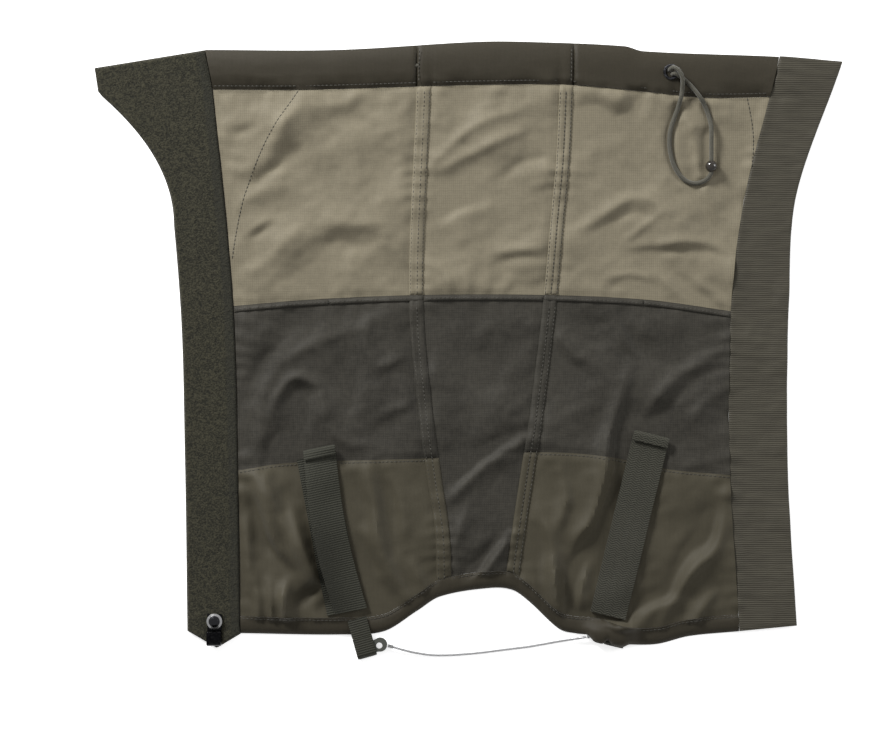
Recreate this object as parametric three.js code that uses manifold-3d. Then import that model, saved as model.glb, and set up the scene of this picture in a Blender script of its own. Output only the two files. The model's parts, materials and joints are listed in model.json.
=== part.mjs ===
// One gaiter of a pair, unfastened and laid open flat with its inside face up.
// Millimetres, +Z up from the floor at z = 0. +Y runs up the leg to the calf band, the loop-tape edge
// is at -X, the flap edge at +X, and the back of the leg lies between two fold lines in the middle.
import * as THREE from "three";
import { mergeVertices } from "three/addons/utils/BufferGeometryUtils.js";
import Module from "manifold-3d";

const wasm = await Module();
wasm.setup();

// ---- Driving dimensions ----

// Rows of the cloth pattern, from the calf edge down.
const crownRise = 5.6; // the calf edge stands higher behind the leg
const bandDepth = 28; // calf band, from its top edge to its seam
const calfDepth = 146; // khaki panels, from the band seam to the waist seam
const shaftDepth = 114.5; // grey panels of the sides, from the waist seam to the ankle seam
const footDepth = 120; // olive panels of the sides, from the ankle seam to the hem
const hemDepth = 12; // folded hems
const fittingDrop = 17.8; // the cable fitting hangs this far below the hem

// Columns of the cloth pattern, measured at the calf edge.
const tabReach = 77.7; // flared tab of the loop tape
const leftCalf = 144.2; // left side, tape seam to fold line
const backCalf = 119; // back, fold line to fold line
const rightCalf = 139.3; // right side, fold line to flap seam
const flapCalf = 43.4; // front flap
const flapCorner = 2.6; // more cloth at the flap's top corner, where the calf edge slopes down
const leftLean = 20.4; // how far the left fold line runs inwards from calf to foot
const rightLean = 39.9; // the same for the right fold line
const leftWaist = 133.3; // left side at the waist seam
const leftFoot = 139.8; // left side at the hem
const rightWaist = 121.5; // right side at the waist seam
const rightFoot = 150.2; // right side at the hem
const tapeWidth = 37.5; // loop tape below the tab
const tabDepth = 17.5; // straight end of the tab
const tabFall = 12.6; // the tab's top edge slopes down this far
const flapWidth = 40.4; // front flap below the calf
const flapNarrow = 36; // front flap at mid calf
const tipDrop = 12.6; // pointed lower end of the loop tape

// Thicknesses.
const cloth = 0.8;
const gap = 0.3; // clearance between pieces that touch
const binding = 0.8; // seam strips
const tapePile = 1.5; // loop tape
const hookPile = 1.6; // hook tape
const hemHeight = 3; // a hem's folded height
const elasticThick = 0.8;
const webbing = 1.2;
const bandHeight = 4.8; // calf band sleeve
const bandWall = 0.6;

// Cords.
const drawcord = 3; // diameter
const cable = 1.8; // diameter

// Hardware.
const eyeletHole = 6.9;
const eyeletFlange = 11;
const eyeletThick = 1;
const beadSize = 8.4;
const beadBore = 3.6;
const rivetHead = 10.9;
const rivetDome = 1.7;
const shank = 3;
const washerSize = 9;
const hookWidth = 10;
const hookSheet = 1;
const hookThroat = 5;
const strapWidth = 25;
const loopWidth = 13.6;
const fittingWidth = 8;
const fittingThick = 2.2;
const lugRadius = 4.9;
const fittingEye = 2.2; // radius
const ferruleRadius = 1.3;
const ferruleLength = 4;

// ---- Materials ----

const paint = (color, roughness, metalness = 0) =>
  new THREE.MeshStandardMaterial({ color, roughness, metalness });
const khaki = paint(0x89836f, 0.8);
const grey = paint(0x46433d, 0.85);
const olive = paint(0x48443a, 0.85);
const pile = paint(0x363429, 0.95);
const hooks = paint(0x24241f, 0.8);
const strapWeave = paint(0x3a3930, 0.8);
const elastic = paint(0x2b2b28, 0.9);
const cordWeave = paint(0x5a5a4a, 0.8);
const steel = paint(0xb8b8b8, 0.25, 1);
const gunmetal = paint(0x38383c, 0.25, 1);
const blackSteel = paint(0x101012, 0.15, 0.8);
const moulded = paint(0x3f423b, 0.5);

// ---- Lines of the pattern ----

const rows = crownRise + bandDepth + calfDepth + shaftDepth + footDepth + fittingDrop;
const calfY = rows / 2 - crownRise;
const bandY = calfY - bandDepth;
const waistY = bandY - calfDepth;
const ankleY = waistY - shaftDepth;
const footY = ankleY - footDepth;
const midCalfY = (bandY + waistY) / 2;

const columns = tabReach + leftCalf + backCalf + rightCalf + flapCalf;
const tabX = -columns / 2;
const leftFoldX = tabX + tabReach + leftCalf;
const rightFoldX = leftFoldX + backCalf;
const leftTapeX = leftFoldX - leftCalf;
const flapX = rightFoldX + rightCalf;

// A smooth line through a few points [u, v] with u rising, read as v at any u.
function smooth(points) {
  const last = points.length - 1;
  const slope = (i) => {
    const a = points[Math.max(i - 1, 0)];
    const b = points[Math.min(i + 1, last)];
    return (b[1] - a[1]) / (b[0] - a[0]);
  };
  return (u) => {
    if (u <= points[0][0]) return points[0][1] + slope(0) * (u - points[0][0]);
    if (u >= points[last][0]) return points[last][1] + slope(last) * (u - points[last][0]);
    const i = points.findIndex((p) => p[0] > u) - 1;
    const [[u0, v0], [u1, v1]] = [points[i], points[i + 1]];
    const span = u1 - u0;
    const t = (u - u0) / span;
    const rise = (1 - t) ** 2 * t * span * slope(i) - (1 - t) * t * t * span * slope(i + 1);
    return v0 + (v1 - v0) * t * t * (3 - 2 * t) + rise;
  };
}
const moved = (line, by) => (u) => line(u) + by;

// Lines that run up the leg, read as x at a height y.
const leftFold = (y) => leftFoldX + (leftLean * (calfY - y)) / (calfY - footY);
const rightFold = (y) => rightFoldX - (rightLean * (calfY - y)) / (calfY - footY);
const leftSide = smooth([
  [footY, leftFoot],
  [ankleY, (leftFoot + 2 * leftWaist) / 3],
  [waistY, leftWaist],
  [bandY, leftCalf - 3.9],
  [calfY, leftCalf],
]);
const tapeInner = (y) => leftFold(y) - leftSide(y);
const tapeOuter = (y) => tapeInner(y) - tapeWidth;
const rightSide = smooth([
  [footY, rightFoot],
  [ankleY, rightWaist + 9.8],
  [waistY, rightWaist],
  [midCalfY, rightWaist + 2.5],
  [bandY, rightCalf - 4],
  [calfY, rightCalf],
]);
const flapInner = (y) => rightFold(y) + rightSide(y);
const flapSpan = smooth([
  [footY, flapWidth],
  [waistY, flapWidth],
  [midCalfY, flapNarrow],
  [calfY, flapCalf + flapCorner],
]);
const flapOuter = (y) => flapInner(y) + flapSpan(y);

// Lines that run across the leg, read as y at a place x. Each is a level and its rise at each place.
const backX = (leftFold(waistY) + rightFold(waistY)) / 2;
const across = (level, rises) => smooth(rises.map(([x, rise]) => [x, level + rise]));
const calfEdge = across(calfY, [
  [leftTapeX, 0],
  [leftTapeX + 92, 0],
  [leftFoldX + 45, crownRise],
  [rightFoldX - 38, crownRise],
  [rightFoldX + 30, 2.6],
  [rightFoldX + 43, -0.9],
  [flapX, -4.9],
  [-tabX, -8.4],
]);
const bandSeam = across(bandY, [
  [leftTapeX, 0],
  [leftFoldX - 75, 0],
  [leftFoldX, 2.1],
  [backX, 3.5],
  [rightFoldX - 12, 3.5],
  [rightFoldX + 44, -1.4],
  [rightFoldX + 87, -5.6],
  [flapX, -4.9],
]);
const waistSeam = across(waistY, [
  [leftTapeX + 20, -5.2],
  [leftFoldX - 68, -0.6],
  [leftFoldX + 8, 2.5],
  [rightFoldX - 26, 2.5],
  [rightFoldX + 47, -1],
  [flapX - 36, -8.7],
]);
const ankleSeam = across(ankleY, [
  [leftTapeX + 24, -5.5],
  [leftTapeX + 58, -0.6],
  [leftFoldX + 17, 2.9],
  [rightFoldX - 32, 7],
  [rightFoldX + 15, 4.3],
  [rightFoldX + 60, -4.8],
  [flapX - 36, -9],
]);
const footEdge = across(footY, [
  [leftTapeX + 24, 0.4],
  [leftFoldX - 50, -0.6],
  [leftFoldX - 19, 1.8],
  [leftFoldX + 4, 16],
  [leftFoldX + 20, 26],
  [backX, 32],
  [rightFoldX - 48, 30.5],
  [rightFoldX - 37, 22.8],
  [rightFoldX - 16, 3.6],
  [rightFoldX - 4, 0.2],
  [rightFoldX + 10, -0.8],
  [rightFoldX + 30, -6.6],
  [rightFoldX + 52, -7.3],
  [rightFoldX + 75, -1.7],
  [flapX - 30, 1.6],
]);
const hemLine = moved(footEdge, hemDepth);
const hemSeam = moved(hemLine, 2 * gap); // the lower edge of the cloth above a hem

// ---- Making pieces ----

const assembly = new THREE.Group();

function add(name, geometry, material, parent = assembly) {
  const mesh = new THREE.Mesh(geometry, material);
  mesh.name = name;
  parent.add(mesh);
  return mesh;
}

function solidOf(geometry) {
  const bare = geometry.clone();
  bare.deleteAttribute("normal");
  bare.deleteAttribute("uv");
  const merged = mergeVertices(bare, 1e-4);
  return new wasm.Manifold(
    new wasm.Mesh({
      numProp: 3,
      vertProperties: merged.attributes.position.array,
      triVerts: new Uint32Array(merged.index.array),
    }),
  );
}

function geometryOf(solid) {
  const { numProp, vertProperties, triVerts } = solid.getMesh();
  const at = new Float32Array((vertProperties.length / numProp) * 3);
  for (let i = 0; i < at.length / 3; i++)
    at.set(vertProperties.subarray(i * numProp, i * numProp + 3), i * 3);
  const geometry = new THREE.BufferGeometry();
  geometry.setAttribute("position", new THREE.BufferAttribute(at, 3));
  geometry.setIndex(new THREE.BufferAttribute(triVerts, 1));
  return geometry;
}

const cut = (geometry, ...tools) =>
  geometryOf(tools.reduce((body, tool) => body.subtract(solidOf(tool)), solidOf(geometry)));

// A level plate of the given outline, from one height to another.
function plate(points, low, high) {
  const shape = Array.isArray(points) ? new THREE.Shape(points) : points;
  const depth = high - low;
  return new THREE.ExtrudeGeometry(shape, { depth, bevelEnabled: false, curveSegments: 8 }).translate(0, 0, low);
}

// Where a line up the leg meets a line across it.
function corner(upright, level) {
  let y = level(0);
  for (let k = 0; k < 20; k++) y = level(upright(y));
  return new THREE.Vector2(upright(y), y);
}

// The outline between two lines up the leg and two lines across it, with this many steps up each side
// and along each end.
function between(left, right, bottom, top, steps, endSteps = steps) {
  const [sw, se, ne, nw] = [
    corner(left, bottom),
    corner(right, bottom),
    corner(right, top),
    corner(left, top),
  ];
  const points = [];
  for (let k = 0; k < endSteps; k++) {
    const x = THREE.MathUtils.lerp(sw.x, se.x, k / endSteps);
    points.push(new THREE.Vector2(x, bottom(x)));
  }
  for (let k = 0; k < steps; k++) {
    const y = THREE.MathUtils.lerp(se.y, ne.y, k / steps);
    points.push(new THREE.Vector2(right(y), y));
  }
  for (let k = 0; k < endSteps; k++) {
    const x = THREE.MathUtils.lerp(ne.x, nw.x, k / endSteps);
    points.push(new THREE.Vector2(x, top(x)));
  }
  for (let k = 0; k < steps; k++) {
    const y = THREE.MathUtils.lerp(nw.y, sw.y, k / steps);
    points.push(new THREE.Vector2(left(y), y));
  }
  return points;
}

// The same outline, with half the clearance kept inside each of its four lines.
const inside = (left, right, bottom, top, ...steps) =>
  between(
    moved(left, gap / 2),
    moved(right, -gap / 2),
    moved(bottom, gap / 2),
    moved(top, -gap / 2),
    ...steps,
  );

// A ribbon whose centre line is drawn in side view as [s, z] points, swept across its width.
// It runs along +X with its width along Y.
function ribbon(points, thick, width) {
  const path = points.map(([s, z]) => new THREE.Vector2(s, z));
  const side = (sign) =>
    path.map((p, i) => {
      const before = path[Math.max(i - 1, 0)];
      const after = path[Math.min(i + 1, path.length - 1)];
      const a = p.clone().sub(before).normalize();
      const b = after.clone().sub(p).normalize();
      const along = a.add(b).normalize();
      const turn = i > 0 && i < path.length - 1 ? along.dot(b) : 1;
      return p.clone().add(new THREE.Vector2(-along.y, along.x).multiplyScalar((sign * thick) / 2 / turn));
    });
  const outline = [...side(-1), ...side(1).reverse()];
  const shape = new THREE.Shape(outline);
  return new THREE.ExtrudeGeometry(shape, { depth: width, bevelEnabled: false })
    .rotateX(Math.PI / 2)
    .translate(0, width / 2, 0);
}

// A length of folded cloth that runs across the leg, from one line up the leg to another. Each corner
// of its section is a line across the leg and a height, [line, z], and a channel may run through it.
function sleeve(left, right, section, channel, steps) {
  const corners = [...section, ...channel];
  const ends = corners.map(([line]) => [corner(left, line).x, corner(right, line).x]);
  const flat = (ring, from) => ring.map(([line, z], i) => new THREE.Vector2(line(ends[from + i][0]), z));
  const lid = THREE.ShapeUtils.triangulateShape(flat(section, 0), channel.length ? [flat(channel, section.length)] : []);
  const at = [];
  for (let k = 0; k <= steps; k++)
    corners.forEach(([line, z], i) => {
      const x = THREE.MathUtils.lerp(ends[i][0], ends[i][1], k / steps);
      at.push(x, line(x), z);
    });
  const index = [];
  const count = corners.length;
  for (const [from, ring] of [
    [0, section],
    [section.length, channel],
  ])
    for (let k = 0; k < steps; k++)
      for (let i = 0; i < ring.length; i++) {
        const a = k * count + from + i;
        const b = k * count + from + ((i + 1) % ring.length);
        index.push(a, b, b + count, a, b + count, a + count);
      }
  for (const [a, b, c] of lid) {
    const last = steps * count;
    index.push(c, b, a, last + a, last + b, last + c);
  }
  const geometry = new THREE.BufferGeometry();
  geometry.setAttribute("position", new THREE.Float32BufferAttribute(at, 3));
  geometry.setIndex(index);
  return geometry;
}

// A flat tape that runs across the leg between two lines, from one height to another.
function tape(left, right, bottom, top, low, high, steps) {
  const section = [
    [bottom, low],
    [top, low],
    [top, high],
    [bottom, high],
  ];
  return sleeve(left, right, section, [], steps);
}

// Points of an arc in side view, from one angle to another in degrees.
function arc(s, z, radius, from, to, steps) {
  return Array.from({ length: steps + 1 }, (_, k) => {
    const angle = THREE.MathUtils.degToRad(from + ((to - from) * k) / steps);
    return [s + radius * Math.cos(angle), z + radius * Math.sin(angle)];
  });
}

// A tube of the given diameter along a smooth curve through points.
function tube(points, diameter, steps) {
  const route = new THREE.CatmullRomCurve3(points.map((p) => new THREE.Vector3(...p)), false, "centripetal");
  const section = new THREE.Shape();
  for (let k = 0; k < 8; k++) {
    const angle = (k * Math.PI) / 4;
    const [x, y] = [(diameter / 2) * Math.cos(angle), (diameter / 2) * Math.sin(angle)];
    if (k) section.lineTo(x, y);
    else section.moveTo(x, y);
  }
  return new THREE.ExtrudeGeometry(section, { steps, extrudePath: route, bevelEnabled: false });
}

const turned = (profile, segments = 24) =>
  new THREE.LatheGeometry(profile.map(([r, z]) => new THREE.Vector2(r, z)), segments);
const upright = (profile, segments) => turned(profile, segments).rotateX(Math.PI / 2);
const bore = (radius, low, high, x = 0, y = 0) =>
  new THREE.CylinderGeometry(radius, radius, high - low, 16)
    .rotateX(Math.PI / 2)
    .translate(x, y, (low + high) / 2);

// ---- Cloth panels ----

function clothPanels() {
  const sheet = (name, left, right, bottom, top, material) =>
    add(name, plate(inside(left, right, bottom, top, 12), 0, cloth), material);
  sheet("back_upper_panel", leftFold, rightFold, waistSeam, bandSeam, khaki);
  sheet("back_lower_panel", leftFold, rightFold, hemSeam, waistSeam, grey);
  sheet("left_upper_panel", tapeInner, leftFold, waistSeam, bandSeam, khaki);
  sheet("left_middle_panel", tapeInner, leftFold, ankleSeam, waistSeam, grey);
  sheet("left_lower_panel", tapeInner, leftFold, hemSeam, ankleSeam, olive);
  sheet("right_upper_panel", rightFold, flapInner, waistSeam, bandSeam, khaki);
  sheet("right_middle_panel", rightFold, flapInner, ankleSeam, waistSeam, grey);
  sheet("right_lower_panel", rightFold, flapInner, hemSeam, ankleSeam, olive);
}

// ---- Seam strips ----

const seamWidth = 9.5; // felled seams of the back
const waistStripWidth = 4.2;
const waistStripDrop = 1.2; // from the waist seam to its strip
const seamIn = 1; // from a fold line to its seam strip

function seamStrips() {
  const low = cloth + gap;
  const high = low + binding;
  const upStrip = (name, left, right, bottom, top, material) =>
    add(name, plate(inside(left, right, bottom, top, 6, 1), low, high), material);
  const acrossStrip = (name, left, right) =>
    add(name, tape(moved(left, gap / 2), moved(right, -gap / 2), stripBottom, stripTop, low, high, 6), olive);
  const leftIn = moved(leftFold, seamIn);
  const leftOut = moved(leftFold, seamIn + seamWidth);
  const rightIn = moved(rightFold, -seamIn);
  const rightOut = moved(rightFold, -seamIn - seamWidth);
  const stripTop = moved(waistSeam, -waistStripDrop);
  const stripBottom = moved(stripTop, -waistStripWidth);
  upStrip("left_seam_upper", leftIn, leftOut, waistSeam, bandSeam, khaki);
  upStrip("left_seam_lower", leftIn, leftOut, hemLine, waistSeam, grey);
  upStrip("right_seam_upper", rightOut, rightIn, waistSeam, bandSeam, khaki);
  upStrip("right_seam_lower", rightOut, rightIn, hemLine, waistSeam, grey);
  acrossStrip("back_waist_strip", leftOut, rightOut);
  acrossStrip("left_waist_strip", tapeInner, leftFold);
  acrossStrip("right_waist_strip", rightFold, flapInner);
}

// ---- Calf band: three sleeves with the drawcord inside ----

const bandMargin = 3; // closed cloth along each edge of the sleeve
const bandMiddle = (x) => (calfEdge(x) + bandSeam(x)) / 2;
const cordZ = bandWall + gap + drawcord / 2;
const eyeletX = rightFoldX + 62.2;
const eyeletY = bandMiddle(eyeletX) + 0.6;
const washerZ = bandHeight - bandWall - 0.5;

function calfBand() {
  const length = (left, right) => {
    const [bottom, top] = [moved(bandSeam, gap / 2), moved(calfEdge, -gap / 2)];
    const [low, high] = [moved(bandSeam, bandMargin), moved(calfEdge, -bandMargin)];
    const outer = [
      [bottom, 0],
      [top, 0],
      [top, bandHeight],
      [bottom, bandHeight],
    ];
    const channel = [
      [low, bandWall],
      [low, bandHeight - bandWall],
      [high, bandHeight - bandWall],
      [high, bandWall],
    ];
    return sleeve(moved(left, gap / 2), moved(right, -gap / 2), outer, channel, 7);
  };
  add("top_band_left", length(tapeInner, leftFold), olive);
  add("top_band_centre", length(leftFold, rightFold), olive);
  const hole = bore(eyeletHole / 2 + 0.8, bandHeight / 2, bandHeight + 1, eyeletX, eyeletY);
  add("top_band_right", cut(length(rightFold, flapInner), hole), olive);
}

function hiddenCord() {
  const run = (name, fromX, toX) => {
    const stops = 5;
    const points = Array.from({ length: stops }, (_, k) => {
      const x = THREE.MathUtils.lerp(fromX, toX, k / (stops - 1));
      return [x, bandMiddle(x), cordZ];
    });
    add(name, tube(points, drawcord, 8), cordWeave);
  };
  const reach = eyeletFlange / 2 + 2;
  const endIn = 6;
  run("drawcord_left", leftTapeX + endIn + 4, leftFold(bandY) - 1.5);
  run("drawcord_centre", leftFold(bandY) + 2.5, rightFold(bandY) - 2.5);
  run("drawcord_right", rightFold(bandY) + 3.5, eyeletX - reach);
  run("drawcord_front", eyeletX + reach, flapX - endIn - 4);
}

function eyelet() {
  const hole = eyeletHole / 2;
  const rim = eyeletFlange / 2;
  const crest = (hole + rim) / 2;
  const low = bandHeight + gap;
  const high = low + eyeletThick;
  const barrel = hole + 0.5;
  const ring = upright([
    [hole, washerZ],
    [barrel, washerZ],
    [barrel, low],
    [rim, low],
    [rim, low + 0.4],
    [crest + 0.5, high],
    [crest - 0.5, high],
    [hole, low + 0.4],
    [hole, washerZ],
  ]);
  add("eyelet", ring.translate(eyeletX, eyeletY, 0), gunmetal);
  const washer = upright([
    [barrel + gap, washerZ - 0.1],
    [rim, washerZ - 0.1],
    [rim, washerZ + 0.3],
    [barrel + gap, washerZ + 0.3],
    [barrel + gap, washerZ - 0.1],
  ]);
  add("eyelet_washer", washer.translate(eyeletX, eyeletY, 0), gunmetal);
}

// ---- Drawcord loop and its bead ----

const onPanel = cloth + gap + drawcord / 2; // a cord's centre where it lies on the cloth
const onBand = bandHeight + gap + drawcord / 2;
const overEyelet = bandHeight + gap + eyeletThick + gap + drawcord / 2;
const beadX = 169.4;
const beadY = 128.5;
const beadZ = cloth + gap + beadSize / 2;
const beadTravel = 20;

// The loop leaves the eyelet, hangs down the khaki cloth, turns up through the bead and goes back.
const insideEyelet = bandHeight - 0.4;
const loopRoute = [
  [eyeletX - 1.1, eyeletY + 1.4, insideEyelet],
  [140.5, 196, overEyelet - 0.7],
  [142.4, 196.9, overEyelet + 2.1],
  [145.4, 195.2, overEyelet + 3.1],
  [148, 191.4, overEyelet + 3],
  [149, 186.4, overEyelet + 1.5],
  [148.8, 181.6, onBand + 0.6],
  [148.1, 176.4, onBand],
  [146.3, 169.6, onPanel + 1],
  [143.6, 162, onPanel],
  [141.2, 154.4, onPanel],
  [140.4, 145.9, onPanel],
  [141.2, 137.4, onPanel],
  [143.6, 129.4, onPanel],
  [147.6, 122.6, onPanel],
  [152.4, 118.4, onPanel],
  [157.6, 116.8, onPanel + 0.2],
  [162.8, 117.6, onPanel + 0.9],
  [167.2, 120.4, beadZ - 0.9],
  [169.4, 124.4, beadZ],
  [beadX, beadY, beadZ],
  [beadX, beadY + 8, beadZ],
  [beadX, beadY + 16, beadZ],
  [beadX, beadY + beadTravel + 5, beadZ],
  [169, 158.4, beadZ - 0.8],
  [167.4, 164.8, onPanel + 1],
  [165, 170.6, onPanel + 1.6],
  [161.6, 176.2, onBand],
  [157.6, 181.4, onBand],
  [153.2, 186.2, onBand],
  [149.4, 189.5, onBand + 0.2],
  [146.2, 191.6, overEyelet + 0.1],
  [143.9, 192.8, overEyelet + 0.3],
  [142.5, 192.9, overEyelet - 1],
  [eyeletX + 1.1, eyeletY - 1.4, insideEyelet],
];

function drawcordLoop() {
  add("drawcord_loop", tube(loopRoute, drawcord, 64), cordWeave);
  const radius = beadSize / 2;
  const hole = beadBore / 2;
  const half = Math.sqrt(radius ** 2 - hole ** 2);
  const edge = Math.atan2(half, hole);
  const ball = Array.from({ length: 11 }, (_, k) => {
    const angle = -edge + (2 * edge * k) / 10;
    return [radius * Math.cos(angle), radius * Math.sin(angle)];
  });
  const bead = turned([...ball, ball[0]], 20);
  add("cord_bead", bead, blackSteel).position.set(beadX, beadY, beadZ);
}

// ---- Front edge: loop tape on its backing, with the lace hook riveted through ----

const rivetX = tapeInner(footY) - tapeWidth / 2 + 0.6;
const rivetY = footY + 9;
const tapeLow = cloth + gap;
const tapeHigh = tapeLow + tapePile;
const hookLow = tapeHigh + gap;
const hookHigh = hookLow + hookSheet;

function tapeOutline(inset) {
  const outerX = tapeOuter(footY) + inset;
  const innerX = tapeInner(footY) - inset;
  const tabLow = calfY - tabFall - tabDepth + inset;
  const flareY = midCalfY - 22;
  const shape = new THREE.Shape();
  shape.moveTo(outerX, footY + 2);
  shape.lineTo((outerX + innerX) / 2 + 2, footY - tipDrop + 2.5 + inset);
  shape.lineTo(innerX, footY + inset);
  for (let k = 1; k <= 8; k++) {
    const y = THREE.MathUtils.lerp(footY, calfY - inset, k / 8);
    shape.lineTo(tapeInner(y) - inset, y);
  }
  shape.lineTo(tabX + inset, calfY - tabFall - inset);
  shape.lineTo(tabX + 2.6 + inset, tabLow);
  shape.bezierCurveTo(tabX + 22, tabLow - 17, tapeOuter(flareY) + inset, flareY + 44, tapeOuter(flareY) + inset, flareY);
  for (let k = 1; k < 6; k++) {
    const y = THREE.MathUtils.lerp(flareY, footY + 2, k / 6);
    shape.lineTo(tapeOuter(y) + inset, y);
  }
  return shape;
}

function frontEdge() {
  const edge = gap / 2;
  const backing = plate(tapeOutline(edge), 0, cloth);
  const tape = plate(tapeOutline(edge + 0.6), tapeLow, tapeHigh);
  const hole = (radius) => bore(radius, -1, tapeHigh + 1, rivetX, rivetY);
  add("front_tape_backing", cut(backing, hole(washerSize / 2 + gap)), olive);
  add("loop_tape", cut(tape, hole(shank / 2 + gap)), pile);
}

function laceHook() {
  const baseZ = (hookLow + hookHigh) / 2;
  const bendRadius = (hookThroat + hookSheet) / 2;
  const bendS = 13.4;
  const profile = [
    [-5, baseZ],
    [bendS - 5, baseZ],
    ...arc(bendS, baseZ + bendRadius, bendRadius, -90, 90, 8),
    [bendS - 3.4, baseZ + 2 * bendRadius],
    [bendS - 6.6, baseZ + 2 * bendRadius + 0.8],
  ];
  const hole = bore(shank / 2 + gap, hookLow - 1, hookHigh + 1);
  const sheet = cut(ribbon(profile, hookSheet, hookWidth), hole);
  const hook = add("lace_hook", sheet, blackSteel);
  hook.position.set(rivetX, rivetY, 0);
  hook.rotation.z = -Math.PI / 2;

  const headLow = hookHigh + gap;
  const head = rivetHead / 2;
  const rivet = upright([
    [0, 0.1],
    [shank / 2, 0.1],
    [shank / 2, headLow],
    [head, headLow],
    [head, headLow + 0.5],
    [head - 1.4, headLow + 1],
    [head - 3, headLow + rivetDome],
    [0, headLow + rivetDome + 0.2],
  ]);
  add("hook_rivet", rivet.translate(rivetX, rivetY, 0), steel);
  const inner = shank / 2 + gap;
  const washer = upright([
    [inner, 0],
    [washerSize / 2, 0],
    [washerSize / 2, cloth],
    [inner, cloth],
    [inner, 0],
  ]);
  add("rivet_washer", washer.translate(rivetX, rivetY, 0), steel);
}

// ---- Front flap, with hook tape on its outer face ----

const flapLow = hookPile + gap;
const flapThick = 1.2;
const hookTapeInset = 4;

function frontFlap() {
  const outline = inside(flapInner, flapOuter, moved(footEdge, gap), calfEdge, 9, 3);
  add("front_flap", plate(outline, flapLow, flapLow + flapThick), olive);
  const tapeLine = between(
    moved(flapInner, hookTapeInset),
    moved(flapOuter, -hookTapeInset),
    moved(footEdge, hookTapeInset),
    moved(calfEdge, -hookTapeInset),
    9,
    3,
  );
  add("hook_tape", plate(tapeLine, 0, hookPile), hooks);
}

// ---- Folded hems with elastic inside ----

const hemWall = 0.8;
const slitStart = 41.5; // from the right fold line to the slit in the hem
const slitWidth = 32.5; // the slit leaves room for the cable fitting
const slitFrom = rightFold(footY) + slitStart;
const slitTo = slitFrom + slitWidth;

function hems() {
  const hem = (name, elasticName, left, right, material, steps) => {
    const [edge, fold] = [moved(footEdge, gap / 2), moved(footEdge, hemWall)];
    const top = moved(hemLine, -gap / 2);
    const section = [
      [edge, 0],
      [top, 0],
      [top, hemWall],
      [fold, hemWall],
      [fold, hemHeight - hemWall],
      [top, hemHeight - hemWall],
      [top, hemHeight],
      [edge, hemHeight],
    ];
    add(name, sleeve(moved(left, gap / 2), moved(right, -gap / 2), section, [], steps), material);
    const low = (hemHeight - elasticThick) / 2;
    const [bottom, edgeIn] = [moved(footEdge, 2.5), moved(hemLine, -2)];
    const band = tape(moved(left, 2), moved(right, -2), bottom, edgeIn, low, low + elasticThick, steps);
    add(elasticName, band, elastic);
  };
  hem("left_hem", "left_hem_elastic", tapeInner, leftFold, olive, 12);
  hem("heel_hem", "heel_elastic", leftFold, rightFold, grey, 12);
  hem("right_hem_back", "right_elastic_back", rightFold, () => slitFrom, olive, 12);
  hem("right_hem_front", "right_elastic_front", () => slitTo, flapInner, olive, 6);
}

// ---- Straps: a sewn layer on the cloth and a free tail over it ----

const anchorZ = cloth + gap + webbing / 2;
const tailZ = anchorZ + webbing + gap;
const tailFold = 14; // the tail's end is turned over this far

// A group at a place on the cloth, turned so that its +X points along the heading in degrees.
function placed(x, y, heading) {
  const group = new THREE.Group();
  group.position.set(x, y, 0);
  group.rotation.z = THREE.MathUtils.degToRad(heading);
  assembly.add(group);
  return group;
}

function strap(side, place, length) {
  const sewn = [
    [gap, anchorZ],
    [length - 6, anchorZ],
  ];
  const foldZ = tailZ + webbing + gap;
  const end = length - 1;
  const free = [
    [gap, tailZ],
    ...arc(end, (tailZ + foldZ) / 2, (foldZ - tailZ) / 2, -90, 90, 6),
    [length - tailFold, foldZ],
  ];
  add(side + "_strap_anchor", ribbon(sewn, webbing, strapWidth), strapWeave, place);
  add(side + "_strap_tail", ribbon(free, webbing, strapWidth), strapWeave, place);
}

const leftStrapLength = 117;
const rightStrapLength = 130.8;
const strapRise = hemDepth + 4; // from the edge of the foot to the lower end of a strap

function straps() {
  const leftX = leftFold(footY) - 63.9;
  const rightX = rightFold(footY) + 58;
  strap("left", placed(leftX, footEdge(leftX) + strapRise, 101.1), leftStrapLength);
  strap("right", placed(rightX, footEdge(rightX) + strapRise, 76.3), rightStrapLength);
}

// ---- Cable fittings: a moulded plate with an eye, held in a loop of webbing ----

const loopLow = webbing / 2;
const plateZ = webbing + gap + fittingThick / 2;
const loopHigh = webbing + 2 * gap + fittingThick + webbing / 2;
const bendRoom = 0.8; // between the plate's edge and the bend of the loop
const loopAside = 2.2; // the loop sits this far off the plate's middle, away from the lug
const lugX = 8.6;
const barEnd = 9;
const barRound = 1;
const lugSweep = 1.95; // radians each way from the lug's tip

// The plate lies with +Y up the leg and its lug towards +X, or towards -X where facing is -1.
function fittingPlate(facing) {
  const half = fittingWidth / 2;
  const start = facing > 0 ? -lugSweep : Math.PI + lugSweep;
  const end = facing > 0 ? lugSweep : Math.PI - lugSweep;
  const body = new THREE.Shape();
  body.moveTo(facing * -barEnd, -half + barRound);
  body.lineTo(facing * (barRound - barEnd), -half);
  body.lineTo(facing * (lugX - lugRadius), -half);
  body.absarc(facing * lugX, 0, lugRadius, start, end, facing < 0);
  body.lineTo(facing * (lugX - lugRadius), half);
  body.lineTo(facing * (barRound - barEnd), half);
  body.lineTo(facing * -barEnd, half - barRound);
  const low = plateZ - fittingThick / 2;
  const high = plateZ + fittingThick / 2;
  const eye = bore(fittingEye, low - 1, high + 1, facing * (lugX - 0.8), -0.5);
  return cut(plate(body, low, high), eye);
}

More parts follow.
